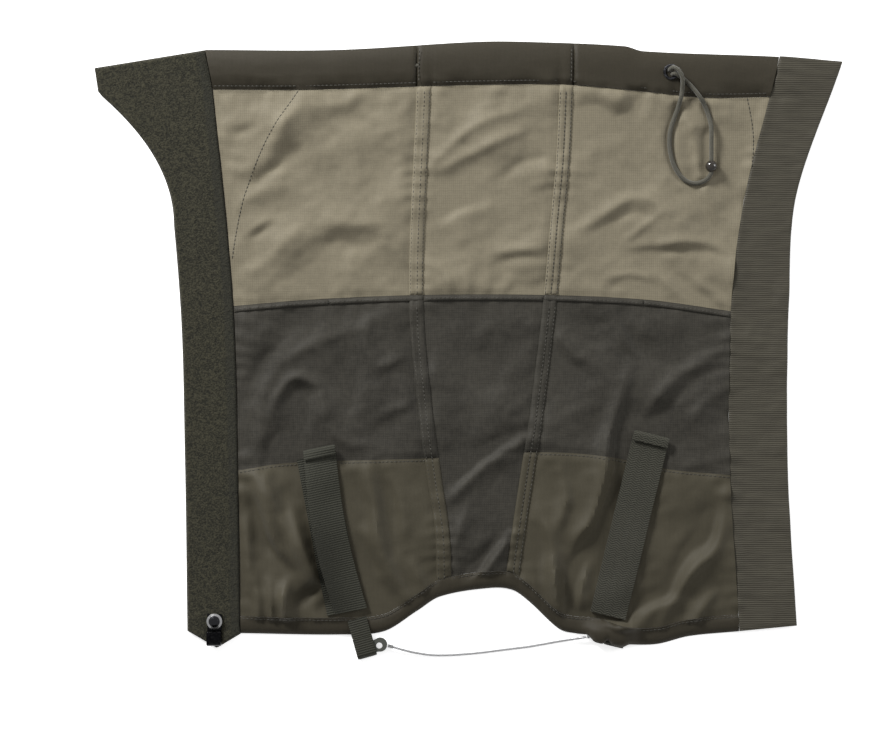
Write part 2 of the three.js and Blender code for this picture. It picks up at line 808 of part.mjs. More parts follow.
// reach is how far the loop runs up the leg from the plate's middle, and tab is where the sewn
// end of its webbing lies beyond that: [from, to, height].
function fitting(side, place, facing, reach, tab) {
  add(side + "_cable_fitting", fittingPlate(facing), moulded, place);
  const turn = fittingWidth / 2 + gap + webbing / 2 + bendRoom;
  const rise = (loopHigh - loopLow) / 2;
  const profile = [
    [reach, loopHigh],
    ...arc(rise - turn, loopLow + rise, rise, 90, 270, 8),
    [reach, loopLow],
  ];
  const [from, to, height] = tab;
  const sewn = [
    [from, height],
    [to, height],
  ];
  for (const [name, line] of [
    ["_strap_loop", profile],
    ["_loop_tab", sewn],
  ]) {
    const web = add(side + name, ribbon(line, webbing, loopWidth), strapWeave, place);
    web.rotation.z = Math.PI / 2;
    web.position.x = facing * -loopAside;
  }
  ferrule(side, place, facing);
}

// The crimped ferrule follows the lug, turned down the leg.
function ferrule(side, place, facing) {
  const barrel = new THREE.CylinderGeometry(ferruleRadius, ferruleRadius, ferruleLength, 12)
    .rotateZ(-Math.PI / 2)
    .translate(ferruleLength / 2, 0, plateZ);
  const piece = add(side + "_ferrule", barrel, steel, place);
  const slant = THREE.MathUtils.degToRad(28);
  piece.position.set(facing * (lugX + lugRadius - 0.1), -2.3, 0);
  piece.rotation.z = facing > 0 ? -slant : Math.PI + slant;
}

const leftFittingIn = 50.5; // from the left fold line
const rightFittingOut = 61.2; // from the right fold line
const leftFittingDrop = 9.4; // below the edge of the foot
const rightFittingRise = 2.2; // the right fitting sits in the slit of its hem

function cableFittings() {
  const onHem = hemHeight + gap + webbing / 2;
  const leftX = leftFold(footY) - leftFittingIn;
  const rightX = rightFold(footY) + rightFittingOut;
  fitting("left", placed(leftX, footEdge(leftX) - leftFittingDrop, 15.7), 1, 8.5, [10.6, 22, onHem]);
  fitting("right", placed(rightX, footEdge(rightX) + rightFittingRise, -13.7), -1, 5.6, [8.4, 12.6, anchorZ]);
}

// The stirrup cable runs from ferrule to ferrule and lies on the floor between them.
const cableZ = cable / 2 + 0.1;
const cableRoute = [
  [-52.4, -207.3, plateZ],
  [-47.4, -208.9, plateZ - 0.7],
  [-37, -211.4, cableZ + 0.3],
  [-25.6, -213, cableZ],
  [-14.4, -213.1, cableZ],
  [-3.2, -212.4, cableZ],
  [8, -211.4, cableZ],
  [19.2, -210, cableZ],
  [30.4, -208.6, cableZ],
  [41.6, -207.2, cableZ],
  [52.8, -205.3, cableZ],
  [64, -203.3, cableZ],
  [72.4, -202, cableZ + 0.5],
  [78, -201.1, plateZ - 0.5],
  [82.4, -200.2, plateZ],
];

clothPanels();
seamStrips();
calfBand();
hiddenCord();
eyelet();
drawcordLoop();
frontEdge();
laceHook();
frontFlap();
hems();
straps();
cableFittings();
add("stirrup_cable", tube(cableRoute, cable, 40), steel);

// The origin is the bottom centre of the object's box, measured without the free cords.
const onCords = ["stirrup_cable", "left_ferrule", "right_ferrule", "drawcord_loop", "cord_bead"];
const box = new THREE.Box3();
assembly.updateMatrixWorld();
assembly.traverse((piece) => {
  if (piece.isMesh && !onCords.includes(piece.name)) box.expandByObject(piece);
});
const centre = box.getCenter(new THREE.Vector3());
assembly.position.set(-centre.x, -centre.y, 0);

export default assembly;
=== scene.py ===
import json
import math

import bpy
import numpy as np
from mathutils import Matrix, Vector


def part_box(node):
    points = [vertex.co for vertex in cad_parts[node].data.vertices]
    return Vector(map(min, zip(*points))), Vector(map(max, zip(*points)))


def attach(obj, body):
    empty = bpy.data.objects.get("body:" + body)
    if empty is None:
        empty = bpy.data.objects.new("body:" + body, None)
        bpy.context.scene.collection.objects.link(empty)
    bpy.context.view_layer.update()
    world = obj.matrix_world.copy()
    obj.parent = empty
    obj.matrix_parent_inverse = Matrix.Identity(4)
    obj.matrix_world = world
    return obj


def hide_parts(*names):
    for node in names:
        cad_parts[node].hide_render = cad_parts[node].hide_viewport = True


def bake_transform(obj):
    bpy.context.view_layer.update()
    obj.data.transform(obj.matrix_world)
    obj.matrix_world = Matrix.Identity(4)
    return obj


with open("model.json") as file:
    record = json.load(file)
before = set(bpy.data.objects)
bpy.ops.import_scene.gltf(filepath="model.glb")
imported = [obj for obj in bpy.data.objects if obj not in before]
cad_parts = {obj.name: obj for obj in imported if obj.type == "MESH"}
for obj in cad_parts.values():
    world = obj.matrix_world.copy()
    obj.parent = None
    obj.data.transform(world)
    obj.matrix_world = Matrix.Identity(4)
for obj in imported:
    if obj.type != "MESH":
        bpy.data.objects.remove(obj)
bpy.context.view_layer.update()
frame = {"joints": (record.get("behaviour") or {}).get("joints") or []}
bpy.ops.object.select_all(action="DESELECT")

# ---- Camera, light and floor ----
# The gaiter lies on a white studio floor, seen from straight above. A broad light from the upper left
# draws the folds, and the bright surroundings fill the shadows.

bead_chosen = (169.4, 128.5)  # the bead's place in the pattern, which fixes where the pattern lies
bead_low, bead_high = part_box("cord_bead")
shift = [500 * (bead_low[i] + bead_high[i]) - bead_chosen[i] for i in range(2)]


def metres(points):
    """Pattern points in millimetres, as places in the frame in metres."""
    return (np.asarray(points, float) + [shift[0], shift[1], 0]) / 1000


lens = 90
sensor = 36
view_width = 0.6216  # of the floor, across the frame
world_strength = 0.36
camera_height = view_width * lens / sensor
look_at = metres((-17.15, -13.65, 0))
bpy.ops.object.camera_add(location=(look_at[0], look_at[1], camera_height), rotation=(0, 0, 0))
camera = bpy.context.object
camera.data.lens = lens
camera.data.sensor_width = sensor
camera.data.clip_start = 0.05
bpy.context.scene.camera = camera
bpy.context.scene.view_settings.view_transform = "Standard"

world = bpy.data.worlds.new("studio")
bpy.context.scene.world = world
world.use_nodes = True
world.node_tree.nodes["Background"].inputs["Color"].default_value = (1, 1, 1, 1)
world.node_tree.nodes["Background"].inputs["Strength"].default_value = world_strength


def area_light(name, place, power, size):
    """A square soft box that points at the middle of the gaiter."""
    bpy.ops.object.light_add(type="AREA", location=place)
    light = bpy.context.object
    light.name = name
    light.data.energy = power
    light.data.size = size
    aim = -light.location
    light.rotation_euler = aim.to_track_quat("-Z", "Y").to_euler()


area_light("key_light", (-1.3, 1.6, 1.0), 78, 0.55)
area_light("side_light", (1.7, 0.5, 0.9), 14, 0.9)

floor_below = 0.0003
bpy.ops.mesh.primitive_plane_add(size=30, location=(0, 0, -floor_below))
floor = bpy.context.object
floor.name = "studio_floor"
paper = bpy.data.materials.new("white_paper")
paper.use_nodes = True
paper_sockets = paper.node_tree.nodes["Principled BSDF"].inputs
paper_sockets["Base Color"].default_value = (0.93, 0.93, 0.93, 1)
paper_sockets["Roughness"].default_value = 0.95
paper_sockets["Emission Color"].default_value = (1, 1, 1, 1)
paper_sockets["Emission Strength"].default_value = 0.6
floor.data.materials.append(paper)

# ---- Drawcord loop and stirrup cable ----
# The drawcord is a 3 mm braided elastic cord that leaves the eyelet as a loop. The stirrup is a 1.8 mm
# stranded steel cable, crimped into a ferrule at each end. Both are swept along the routes that they lie on.


class Wire:
    """A node's output, so that shader sums are written as ordinary expressions."""

    def __init__(self, tree, socket):
        self.tree = tree
        self.socket = socket

    def math(self, operation, *values):
        node = self.tree.nodes.new("ShaderNodeMath")
        node.operation = operation
        for socket, value in zip(node.inputs, values):
            plug(self.tree, socket, value)
        return Wire(self.tree, node.outputs[0])

    def __add__(self, other):
        return self.math("ADD", self, other)

    def __mul__(self, other):
        return self.math("MULTIPLY", self, other)

    def __sub__(self, other):
        return self.math("SUBTRACT", self, other)

    def __rsub__(self, other):
        return self.math("SUBTRACT", other, self)

    __radd__ = __add__
    __rmul__ = __mul__

    def sine(self):
        return self.math("SINE", self)

    def power(self, exponent):
        return self.math("POWER", self, exponent)

    def step(self, low, high):
        """0 below low, 1 above high and smooth between them."""
        node = self.tree.nodes.new("ShaderNodeMapRange")
        node.interpolation_type = "SMOOTHSTEP"
        plug(self.tree, node.inputs["Value"], self)
        node.inputs["From Min"].default_value = low
        node.inputs["From Max"].default_value = high
        return Wire(self.tree, node.outputs[0])


def plug(tree, socket, value):
    """Links a wire to a socket, or sets a plain value on it."""
    if isinstance(value, Wire):
        tree.links.new(value.socket, socket)
    elif isinstance(value, tuple) and len(value) == 3 and socket.type == "RGBA":
        socket.default_value = (*value, 1)
    else:
        socket.default_value = value


class Finish:
    """A material in the making. Uniform values are set on its shader, and patterns are wired to it."""

    def __init__(self, name, roughness, metallic=0.0, **fixed):
        self.material = bpy.data.materials.new(name)
        self.material.use_nodes = True
        self.tree = self.material.node_tree
        self.shader = self.tree.nodes["Principled BSDF"]
        self.shader.inputs["Roughness"].default_value = roughness
        self.shader.inputs["Metallic"].default_value = metallic
        for socket, value in fixed.items():
            plug(self.tree, self.shader.inputs[socket.replace("_", " ")], value)
        self.place = self.node("TexCoord", {}, "Object")

    def node(self, kind, settings, output, **sockets):
        """One node of any kind: its settings, the output wanted, and its sockets' values or wires."""
        node = self.tree.nodes.new("ShaderNode" + kind)
        for key, value in settings.items():
            setattr(node, key, value)
        for key, value in sockets.items():
            plug(self.tree, node.inputs[key.replace("_", " ")], value)
        return Wire(self.tree, node.outputs[output])

    def axis(self, name):
        """One coordinate of the place on the piece, in millimetres."""
        split = self.node("SeparateXYZ", {}, name, Vector=self.place)
        return split * 1000.0

    def noise(self, size, detail=3.0, stretch=(1, 1, 1)):
        """Soft random grain whose blotches are about size millimetres across."""
        scale = tuple(1000 * s / size for s in stretch)
        place = self.node("Mapping", {}, "Vector", Vector=self.place, Scale=scale)
        return self.node("TexNoise", {}, "Fac", Vector=place, Scale=1.0, Detail=detail)

    def blend(self, factor, low, high):
        """A colour between two colours."""
        node = self.tree.nodes.new("ShaderNodeMix")
        node.data_type = "RGBA"
        plug(self.tree, node.inputs[0], factor)
        plug(self.tree, node.inputs[6], low)
        plug(self.tree, node.inputs[7], high)
        return Wire(self.tree, node.outputs[2])

    def along(self, name):
        """One coordinate of the piece's own UV map, as laid along a cord, tape or strap."""
        return self.node("SeparateXYZ", {}, name, Vector=self.node("TexCoord", {}, "UV"))

    def colour(self, value):
        plug(self.tree, self.shader.inputs["Base Color"], value)

    def rough(self, value):
        plug(self.tree, self.shader.inputs["Roughness"], value)

    def bump(self, height, depth):
        """Relief of the given depth in millimetres where height runs from 0 to 1."""
        normal = self.node("Bump", {}, "Normal", Height=height, Distance=depth / 1000, Strength=1.0)
        plug(self.tree, self.shader.inputs["Normal"], normal)


def shade(colour, amount):
    """The same colour, lighter or darker."""
    return tuple(min(1.0, c * amount) for c in colour)


def add_piece(name, points, faces, finish, uv=None, sharp_angle=40):
    """A mesh piece in the frame from pattern points, shaded smooth except across sharp edges."""
    mesh = bpy.data.meshes.new(name)
    mesh.from_pydata(metres(points).tolist(), [], faces)
    piece = bpy.data.objects.new(name, mesh)
    bpy.context.scene.collection.objects.link(piece)
    mesh.materials.append(finish.material)
    if uv is not None:
        layer = mesh.uv_layers.new(name="along")
        corners = np.array([loop.vertex_index for loop in mesh.loops])
        layer.data.foreach_set("uv", np.asarray(uv, np.float32)[corners].ravel())
    bpy.ops.object.select_all(action="DESELECT")
    piece.select_set(True)
    bpy.context.view_layer.objects.active = piece
    bpy.ops.object.shade_smooth_by_angle(angle=math.radians(sharp_angle))
    bpy.ops.object.select_all(action="DESELECT")
    return piece


def run_along(route):
    """The distance from a route's start to each of its points."""
    return np.concatenate([[0], np.cumsum(np.linalg.norm(np.diff(route, axis=0), axis=1))])


def smooth_route(points, spacing):
    """Evenly spaced points on a centripetal curve through chosen points."""
    p = np.asarray(points, float)
    p = np.vstack([2 * p[0] - p[1], p, 2 * p[-1] - p[-2]])
    route = []
    for i in range(1, len(p) - 2):
        a, b, c, d = p[i - 1 : i + 3]
        knots = [0.0]
        for u, v in ((a, b), (b, c), (c, d)):
            knots.append(knots[-1] + np.linalg.norm(v - u) ** 0.5)
        k0, k1, k2, k3 = knots
        for t in np.linspace(k1, k2, 12, endpoint=False):
            ab = (k1 - t) / (k1 - k0) * a + (t - k0) / (k1 - k0) * b
            bc = (k2 - t) / (k2 - k1) * b + (t - k1) / (k2 - k1) * c
            cd = (k3 - t) / (k3 - k2) * c + (t - k2) / (k3 - k2) * d
            abc = (k2 - t) / (k2 - k0) * ab + (t - k0) / (k2 - k0) * bc
            bcd = (k3 - t) / (k3 - k1) * bc + (t - k1) / (k3 - k1) * cd
            route.append((k2 - t) / (k2 - k1) * abc + (t - k1) / (k2 - k1) * bcd)
    route.append(p[-2])
    route = np.array(route)
    lengths = run_along(route)
    stops = np.linspace(0, lengths[-1], max(2, round(lengths[-1] / spacing)) + 1)
    return np.stack([np.interp(stops, lengths, route[:, i]) for i in range(3)], axis=1)


def tube_faces(stations, count):
    """Faces of a closed tube with the same count of points at each station."""
    faces = []
    for k in range(stations - 1):
        for i in range(count):
            a, b = k * count + i, k * count + (i + 1) % count
            faces.append((a, a + count, b + count, b))
    last = (stations - 1) * count
    faces.append(tuple(range(count)))
    faces.append(tuple(last + i for i in reversed(range(count))))
    return faces


def sweep(route, outline):
    """Points, faces and lengthwise UVs of a section carried along a route. The section's x is sideways
    and its y is upwards."""
    tangent = np.gradient(route, axis=0)
    tangent /= np.linalg.norm(tangent, axis=1)[:, None]
    side = np.cross(tangent, [0, 0, 1.0])
    side /= np.maximum(np.linalg.norm(side, axis=1), 1e-6)[:, None]
    up = np.cross(side, tangent)
    count = len(outline)
    points = [r + s * x + u * y for r, s, u in zip(route, side, up) for x, y in outline]
    faces = tube_faces(len(route), count)
    lengths = run_along(route)
    uv = [(i / count, length) for length in lengths for i in range(count)]
    return points, faces, uv


def ring(radius, sides=12):
    """A round section, counted so that its swept faces point outwards."""
    turn = 2 * math.pi / sides
    return [(radius * math.cos(i * turn), radius * math.sin(i * turn)) for i in range(sides)]


cloth = 0.8  # thickness of every cloth
gap = 0.3  # between pieces that lie on each other
cord_radius = 1.5
band_height = 4.8
eyelet_thick = 1
on_panel = cloth + gap + cord_radius
on_band = band_height + gap + cord_radius
over_eyelet = on_band + eyelet_thick + gap
bead_radius = 4.2
bead_z = cloth + gap + bead_radius
bead_x, bead_y = bead_chosen
in_eyelet = band_height - 0.4
eyelet_low, eyelet_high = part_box("eyelet")
eyelet_x = 500 * (eyelet_low[0] + eyelet_high[0]) - shift[0]
eyelet_y = 500 * (eyelet_low[1] + eyelet_high[1]) - shift[1]

loop_points = [
    (eyelet_x - 1.1, eyelet_y + 1.4, in_eyelet),
    (140.5, 196, over_eyelet - 0.7),
    (142.4, 196.9, over_eyelet + 2.1),
    (145.4, 195.2, over_eyelet + 3.1),
    (148, 191.4, over_eyelet + 3),
    (149, 186.4, over_eyelet + 1.5),
    (148.8, 181.6, on_band + 0.6),
    (148.1, 176.4, on_band),
    (146.3, 169.6, on_panel + 1),
    (143.6, 162, on_panel),
    (141.2, 154.4, on_panel),
    (140.4, 145.9, on_panel),
    (141.2, 137.4, on_panel),
    (143.6, 129.4, on_panel),
    (147.6, 122.6, on_panel),
    (152.4, 118.4, on_panel),
    (157.6, 116.8, on_panel + 0.2),
    (162.8, 117.6, on_panel + 0.9),
    (167.2, 120.4, bead_z - 0.9),
    (169.4, 124.4, bead_z),
    (bead_x, bead_y, bead_z),
    (bead_x, bead_y + 8, bead_z),
    (bead_x, bead_y + 16, bead_z),
    (bead_x, bead_y + 25, bead_z),
    (169, 158.4, bead_z - 0.8),
    (167.4, 164.8, on_panel + 1),
    (165, 170.6, on_panel + 1.6),
    (161.6, 176.2, on_band),
    (157.6, 181.4, on_band),
    (153.2, 186.2, on_band),
    (149.4, 189.5, on_band + 0.2),
    (146.2, 191.6, over_eyelet + 0.1),
    (143.9, 192.8, over_eyelet + 0.3),
    (142.5, 192.9, over_eyelet - 1),
    (eyelet_x + 1.1, eyelet_y - 1.4, in_eyelet),
]

cord_colour = (0.062, 0.058, 0.040)
braid = Finish("drawcord_braid", 0.7, Sheen_Weight=0.25, Sheen_Roughness=0.5)
around = braid.along("X")
along = braid.along("Y")
turns = 2 * math.pi
plait_length = 1.7
plait_strands = 6
plait_up = (around * (plait_strands * turns) + along * (turns / plait_length)).sine()
plait_down = (around * (plait_strands * turns) - along * (turns / plait_length)).sine()
plait = plait_up * plait_down * 0.5 + 0.5
braid.colour(braid.blend(plait, shade(cord_colour, 0.55), shade(cord_colour, 1.35)))
braid.bump(plait, 0.25)

loop_route = smooth_route(loop_points, 0.8)
points, faces, uv = sweep(loop_route, ring(cord_radius, 14))
drawcord_loop = add_piece("drawcord_loop_braid", points, faces, braid, uv)
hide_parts("drawcord_loop")
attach(drawcord_loop, "right_wing")


# Moulded bead: a glossy ball, drilled through and rounded at the bore, which slides along the loop.
bead_bore = 1.8
gloss = Finish("bead_plastic", 0.12, Coat_Weight=0.6, Coat_Roughness=0.08)
gloss.colour(gloss.blend(gloss.noise(2.5), (0.018, 0.015, 0.012), (0.032, 0.027, 0.022)))
upright = (math.pi / 2, 0, 0)
bpy.ops.mesh.primitive_uv_sphere_add(segments=40, ring_count=24, radius=bead_radius / 1000, rotation=upright)
bead = bpy.context.object
bead.name = "cord_bead_ball"
bead_place = metres((bead_x, bead_y, bead_z))
bead.location = bead_place
bpy.ops.object.transform_apply(location=True, rotation=True, scale=True)
bpy.ops.mesh.primitive_cylinder_add(vertices=40, radius=bead_bore / 1000, depth=0.012, location=bead_place,
                                    rotation=upright)
drill = bpy.context.object
bpy.ops.object.select_all(action="DESELECT")
bead.select_set(True)
bpy.context.view_layer.objects.active = bead
bore = bead.modifiers.new("bore", "BOOLEAN")
bore.object = drill
bpy.ops.object.modifier_apply(modifier="bore")
soften = bead.modifiers.new("soften", "BEVEL")
soften.width = 0.0004
soften.segments = 3
soften.angle_limit = math.radians(50)
bpy.ops.object.modifier_apply(modifier="soften")
bpy.data.objects.remove(drill)
bpy.ops.object.shade_smooth_by_angle(angle=math.radians(40))
bead.data.materials.append(gloss.material)
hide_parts("cord_bead")
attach(bead, "bead")


# The cable is one wire, made as four lengths that meet end to end.
cable_radius = 0.9
fitting_z = 2.6
cable_z = cable_radius + 0.1
cable_points = [
    (-52.4, -207.3, fitting_z),
    (-47.4, -208.9, fitting_z - 0.7),
    (-37, -211.4, cable_z + 0.3),
    (-25.6, -213, cable_z),
    (-14.4, -213.1, cable_z),
    (-3.2, -212.4, cable_z),
    (8, -211.4, cable_z),
    (19.2, -210, cable_z),
    (30.4, -208.6, cable_z),
    (41.6, -207.2, cable_z),
    (52.8, -205.3, cable_z),
    (64, -203.3, cable_z),
    (72.4, -202, cable_z + 0.5),
    (78, -201.1, fitting_z - 0.5),
    (82.4, -200.2, fitting_z),
]

wire = Finish("bright_steel_wire", 0.3, 0.85)
strand_count = 7
strand_lay = 5
twist = wire.along("X") * (strand_count * turns) + wire.along("Y") * (turns / strand_lay)
strands = twist.sine() * 0.5 + 0.5
wire.colour(wire.blend(strands, (0.35, 0.35, 0.36), (0.85, 0.85, 0.86)))
wire.bump(strands, 0.12)

cable_route = smooth_route(cable_points, 0.9)
# Each length: its ends in x, the bodies that it joins, and where between them it bends.
cable_lengths = [
    ("stirrup_cable_left_end", -53, -22, "left_fitting", "left_wing", -46, -26),
    ("stirrup_cable_left", -22, 10, "left_wing", "back", -21, 8),
    ("stirrup_cable_right", 10, 52, "back", "right_wing", 12, 50),
    ("stirrup_cable_right_end", 52, 83, "right_wing", "right_fitting", 58, 78),
]
for name, from_x, to_x, from_body, to_body, bend_from, bend_to in cable_lengths:
    along_x = cable_route[:, 0]
    route = cable_route[(along_x > from_x) & (along_x < to_x)]
    first, last = ([x, *(np.interp(x, along_x, cable_route[:, i]) for i in (1, 2))] for x in (from_x, to_x))
    if from_x > along_x[0]:
        route = np.vstack([first, route])
    if to_x < along_x[-1]:
        route = np.vstack([route, last])
    points, faces, uv = sweep(route, ring(cable_radius, 12))
    length_of_wire = add_piece(name, points, faces, wire, uv)
    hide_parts("stirrup_cable")
    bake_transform(length_of_wire)

# ---- The pattern, and how its pieces follow the folds ----
# The gaiter is cut as a back and two sides, with a loop tape down one front edge and a flap down the
# other. Lines up the leg are read as x at a height y, and lines across it as y at a place x.

calf_y = 210.35
band_y = calf_y - 28
waist_y = band_y - 146
ankle_y = waist_y - 114.5
foot_y = ankle_y - 120
mid_calf_y = (band_y + waist_y) / 2
tab_x = -261.8
tape_width = 37.5
left_fold_x = tab_x + 77.7 + 144.2
right_fold_x = left_fold_x + 119
left_tape_x = left_fold_x - 144.2
flap_x = right_fold_x + 139.3


def smooth_line(points):
    """A smooth line through points (u, v), read as v at any u."""
    u, v = np.array(points, float).T
    slopes = np.empty(len(u))
    slopes[1:-1] = (v[2:] - v[:-2]) / (u[2:] - u[:-2])
    slopes[0] = (v[1] - v[0]) / (u[1] - u[0])
    slopes[-1] = (v[-1] - v[-2]) / (u[-1] - u[-2])

    def read(at):
        at = np.asarray(at, float)
        i = np.clip(np.searchsorted(u, at, side="right") - 1, 0, len(u) - 2)
        span = u[i + 1] - u[i]
        t = np.clip((at - u[i]) / span, 0, 1)
        curve = (1 - t) ** 2 * t * span * slopes[i] - (1 - t) * t * t * span * slopes[i + 1]
        beyond = np.minimum(at - u[0], 0) * slopes[0] + np.maximum(at - u[-1], 0) * slopes[-1]
        return v[i] + (v[i + 1] - v[i]) * t * t * (3 - 2 * t) + curve + beyond

    return read


def moved(line, by):
    return lambda at: line(at) + by


def left_fold(y):
    return left_fold_x + 20.4 * (calf_y - y) / (calf_y - foot_y)


def right_fold(y):
    return right_fold_x - 39.9 * (calf_y - y) / (calf_y - foot_y)


# Widths of the two sides, from the fold to the front edge, and of the flap.
left_side = smooth_line(
    [(foot_y, 139.8), (ankle_y, 135.5), (waist_y, 133.3), (band_y, 140.3), (calf_y, 144.2)]
)
right_side = smooth_line(
    [(foot_y, 150.2), (ankle_y, 131.3), (waist_y, 121.5), (mid_calf_y, 124), (band_y, 135.3), (calf_y, 139.3)]
)
flap_span = smooth_line([(foot_y, 40.4), (waist_y, 40.4), (mid_calf_y, 36), (calf_y, 46)])


def tape_inner(y):
    return left_fold(y) - left_side(y)


def tape_outer(y):
    return tape_inner(y) - tape_width


def flap_inner(y):
    return right_fold(y) + right_side(y)


def flap_outer(y):
    return flap_inner(y) + flap_span(y)


back_x = (left_fold(waist_y) + right_fold(waist_y)) / 2
left_seam = smooth_line(
    [(-170, -12), (-129, -13), (-90, -18.6), (-43, -24.9), (waist_y, -31.4), (band_y, -26.2), (calf_y, -25.6)]
)
right_seam = smooth_line(
    [(-170, 25), (-145, 27.7), (-83, 36.8), (-47, 42.4), (waist_y, 52.4), (81.6, 56.4), (134.8, 61.3),
     (band_y, 63.4), (calf_y, 64)]
)
left_strip = 10.2  # widths of the felled seams
right_strip = 9.6


def left_seam_edge(y):
    return left_seam(y) - left_strip


def right_seam_edge(y):
    return right_seam(y) + right_strip


def across(level, *rises):
    return smooth_line([(x, level + rise) for x, rise in rises])


# Lines across the gaiter. Each is a level, and how far the line stands above it at a few places.
calf_edge = across(
    calf_y,
    (left_tape_x, 0), (left_tape_x + 92, 0), (left_fold_x + 45, 5.6), (right_fold_x - 38, 5.6),
    (right_fold_x + 30, 2.6), (right_fold_x + 43, -0.9), (flap_x, -4.9), (-tab_x, -8.4),
)
band_seam = across(
    band_y,
    (left_tape_x, 0), (left_fold_x - 75, 0), (left_fold_x, 2.1), (back_x, 3.5),
    (right_fold_x - 12, 3.5), (right_fold_x + 44, -1.4), (right_fold_x + 87, -5.6), (flap_x, -4.9),
)
waist_seam = across(
    waist_y,
    (left_tape_x + 20, -5.2), (left_fold_x - 68, -0.6), (left_fold_x + 8, 2.5),
    (right_fold_x - 26, 2.5), (right_fold_x + 47, -1), (flap_x - 36, -8.7),
)
ankle_seam = across(
    ankle_y,
    (left_tape_x + 24, -5.5), (left_tape_x + 58, -0.6), (left_fold_x + 17, 2.9), (right_fold_x - 32, 7),
    (right_fold_x + 15, 4.3), (right_fold_x + 60, -4.8), (flap_x - 36, -9),
)
foot_edge = across(
    foot_y,
    (left_tape_x + 24, 0.4), (left_fold_x - 50, -0.6), (left_fold_x - 19, 1.8), (left_fold_x + 4, 16),
    (left_fold_x + 20, 26), (back_x, 32), (right_fold_x - 48, 30.5), (right_fold_x - 37, 22.8),
    (right_fold_x - 16, 3.6), (right_fold_x - 4, 0.2), (right_fold_x + 10, -0.8), (right_fold_x + 30, -6.6),
    (right_fold_x + 52, -7.3), (right_fold_x + 75, -1.7), (flap_x - 30, 1.6),
)
hem_depth = 12
hem_line = moved(foot_edge, hem_depth)

side_bend = 0.016  # how wide a band of cloth turns at each fold, in metres
front_bend = 0.010
hinges = {joint["name"]: joint for joint in frame["joints"]}


def bend_across(joint_name, outward, reach):
    """Where cloth starts and ends its turn: from a joint's axis to a little way outward of it."""
    pivot = np.array(hinges[joint_name]["pos_m"], float)
    line = np.array(hinges[joint_name]["axis"], float)
    away = np.array([line[1], -line[0], 0]) / np.linalg.norm(line[:2])
    away *= outward * np.sign(away[0]) * reach
    return tuple(pivot), tuple(pivot + away)


zones = {
    "left_side": ("back", "left_wing", *bend_across("left_wing_fold", -1, side_bend)),
    "left_edge": ("left_wing", "left_front", *bend_across("front_tape_fold", -1, front_bend)),
    "right_side": ("back", "right_wing", *bend_across("right_wing_fold", 1, side_bend)),
    "right_edge": ("right_wing", "right_front", *bend_across("front_flap_fold", 1, front_bend)),
}


def settle(piece, zone, slot, *nodes):
    """Fixes a piece in place where it lies in a zone of the gaiter, or lets it ride on one body, in place of
    its CAD nodes.
    """
    if zone in zones:
        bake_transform(piece)
    else:
        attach(piece, zone)
    if nodes:
        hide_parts(*nodes)


def left_middle(y):
    return (tape_inner(y) + left_fold(y)) / 2


def right_middle(y):
    return (right_fold(y) + flap_inner(y)) / 2


left_parts = [
    ("front", tape_inner, left_middle, "left_edge"),
    ("side", left_middle, left_seam, "left_side"),
]
right_parts = [
    ("side", right_seam, right_middle, "right_side"),
    ("front", right_middle, flap_inner, "right_edge"),
]


# ---- Lie of the cloth ----
# The folds that the unfastened gaiter keeps from its packing and its elastic: crests and creases laid one
# by one, gathers along every seam, and the fine unevenness of nylon cloth. All the cloth is cut from this.

cell = 1.25
field_x = np.arange(-275, 276, cell)
field_y = np.arange(-235, 236, cell)
X, Y = np.meshgrid(field_x, field_y)
rng = np.random.default_rng(7)

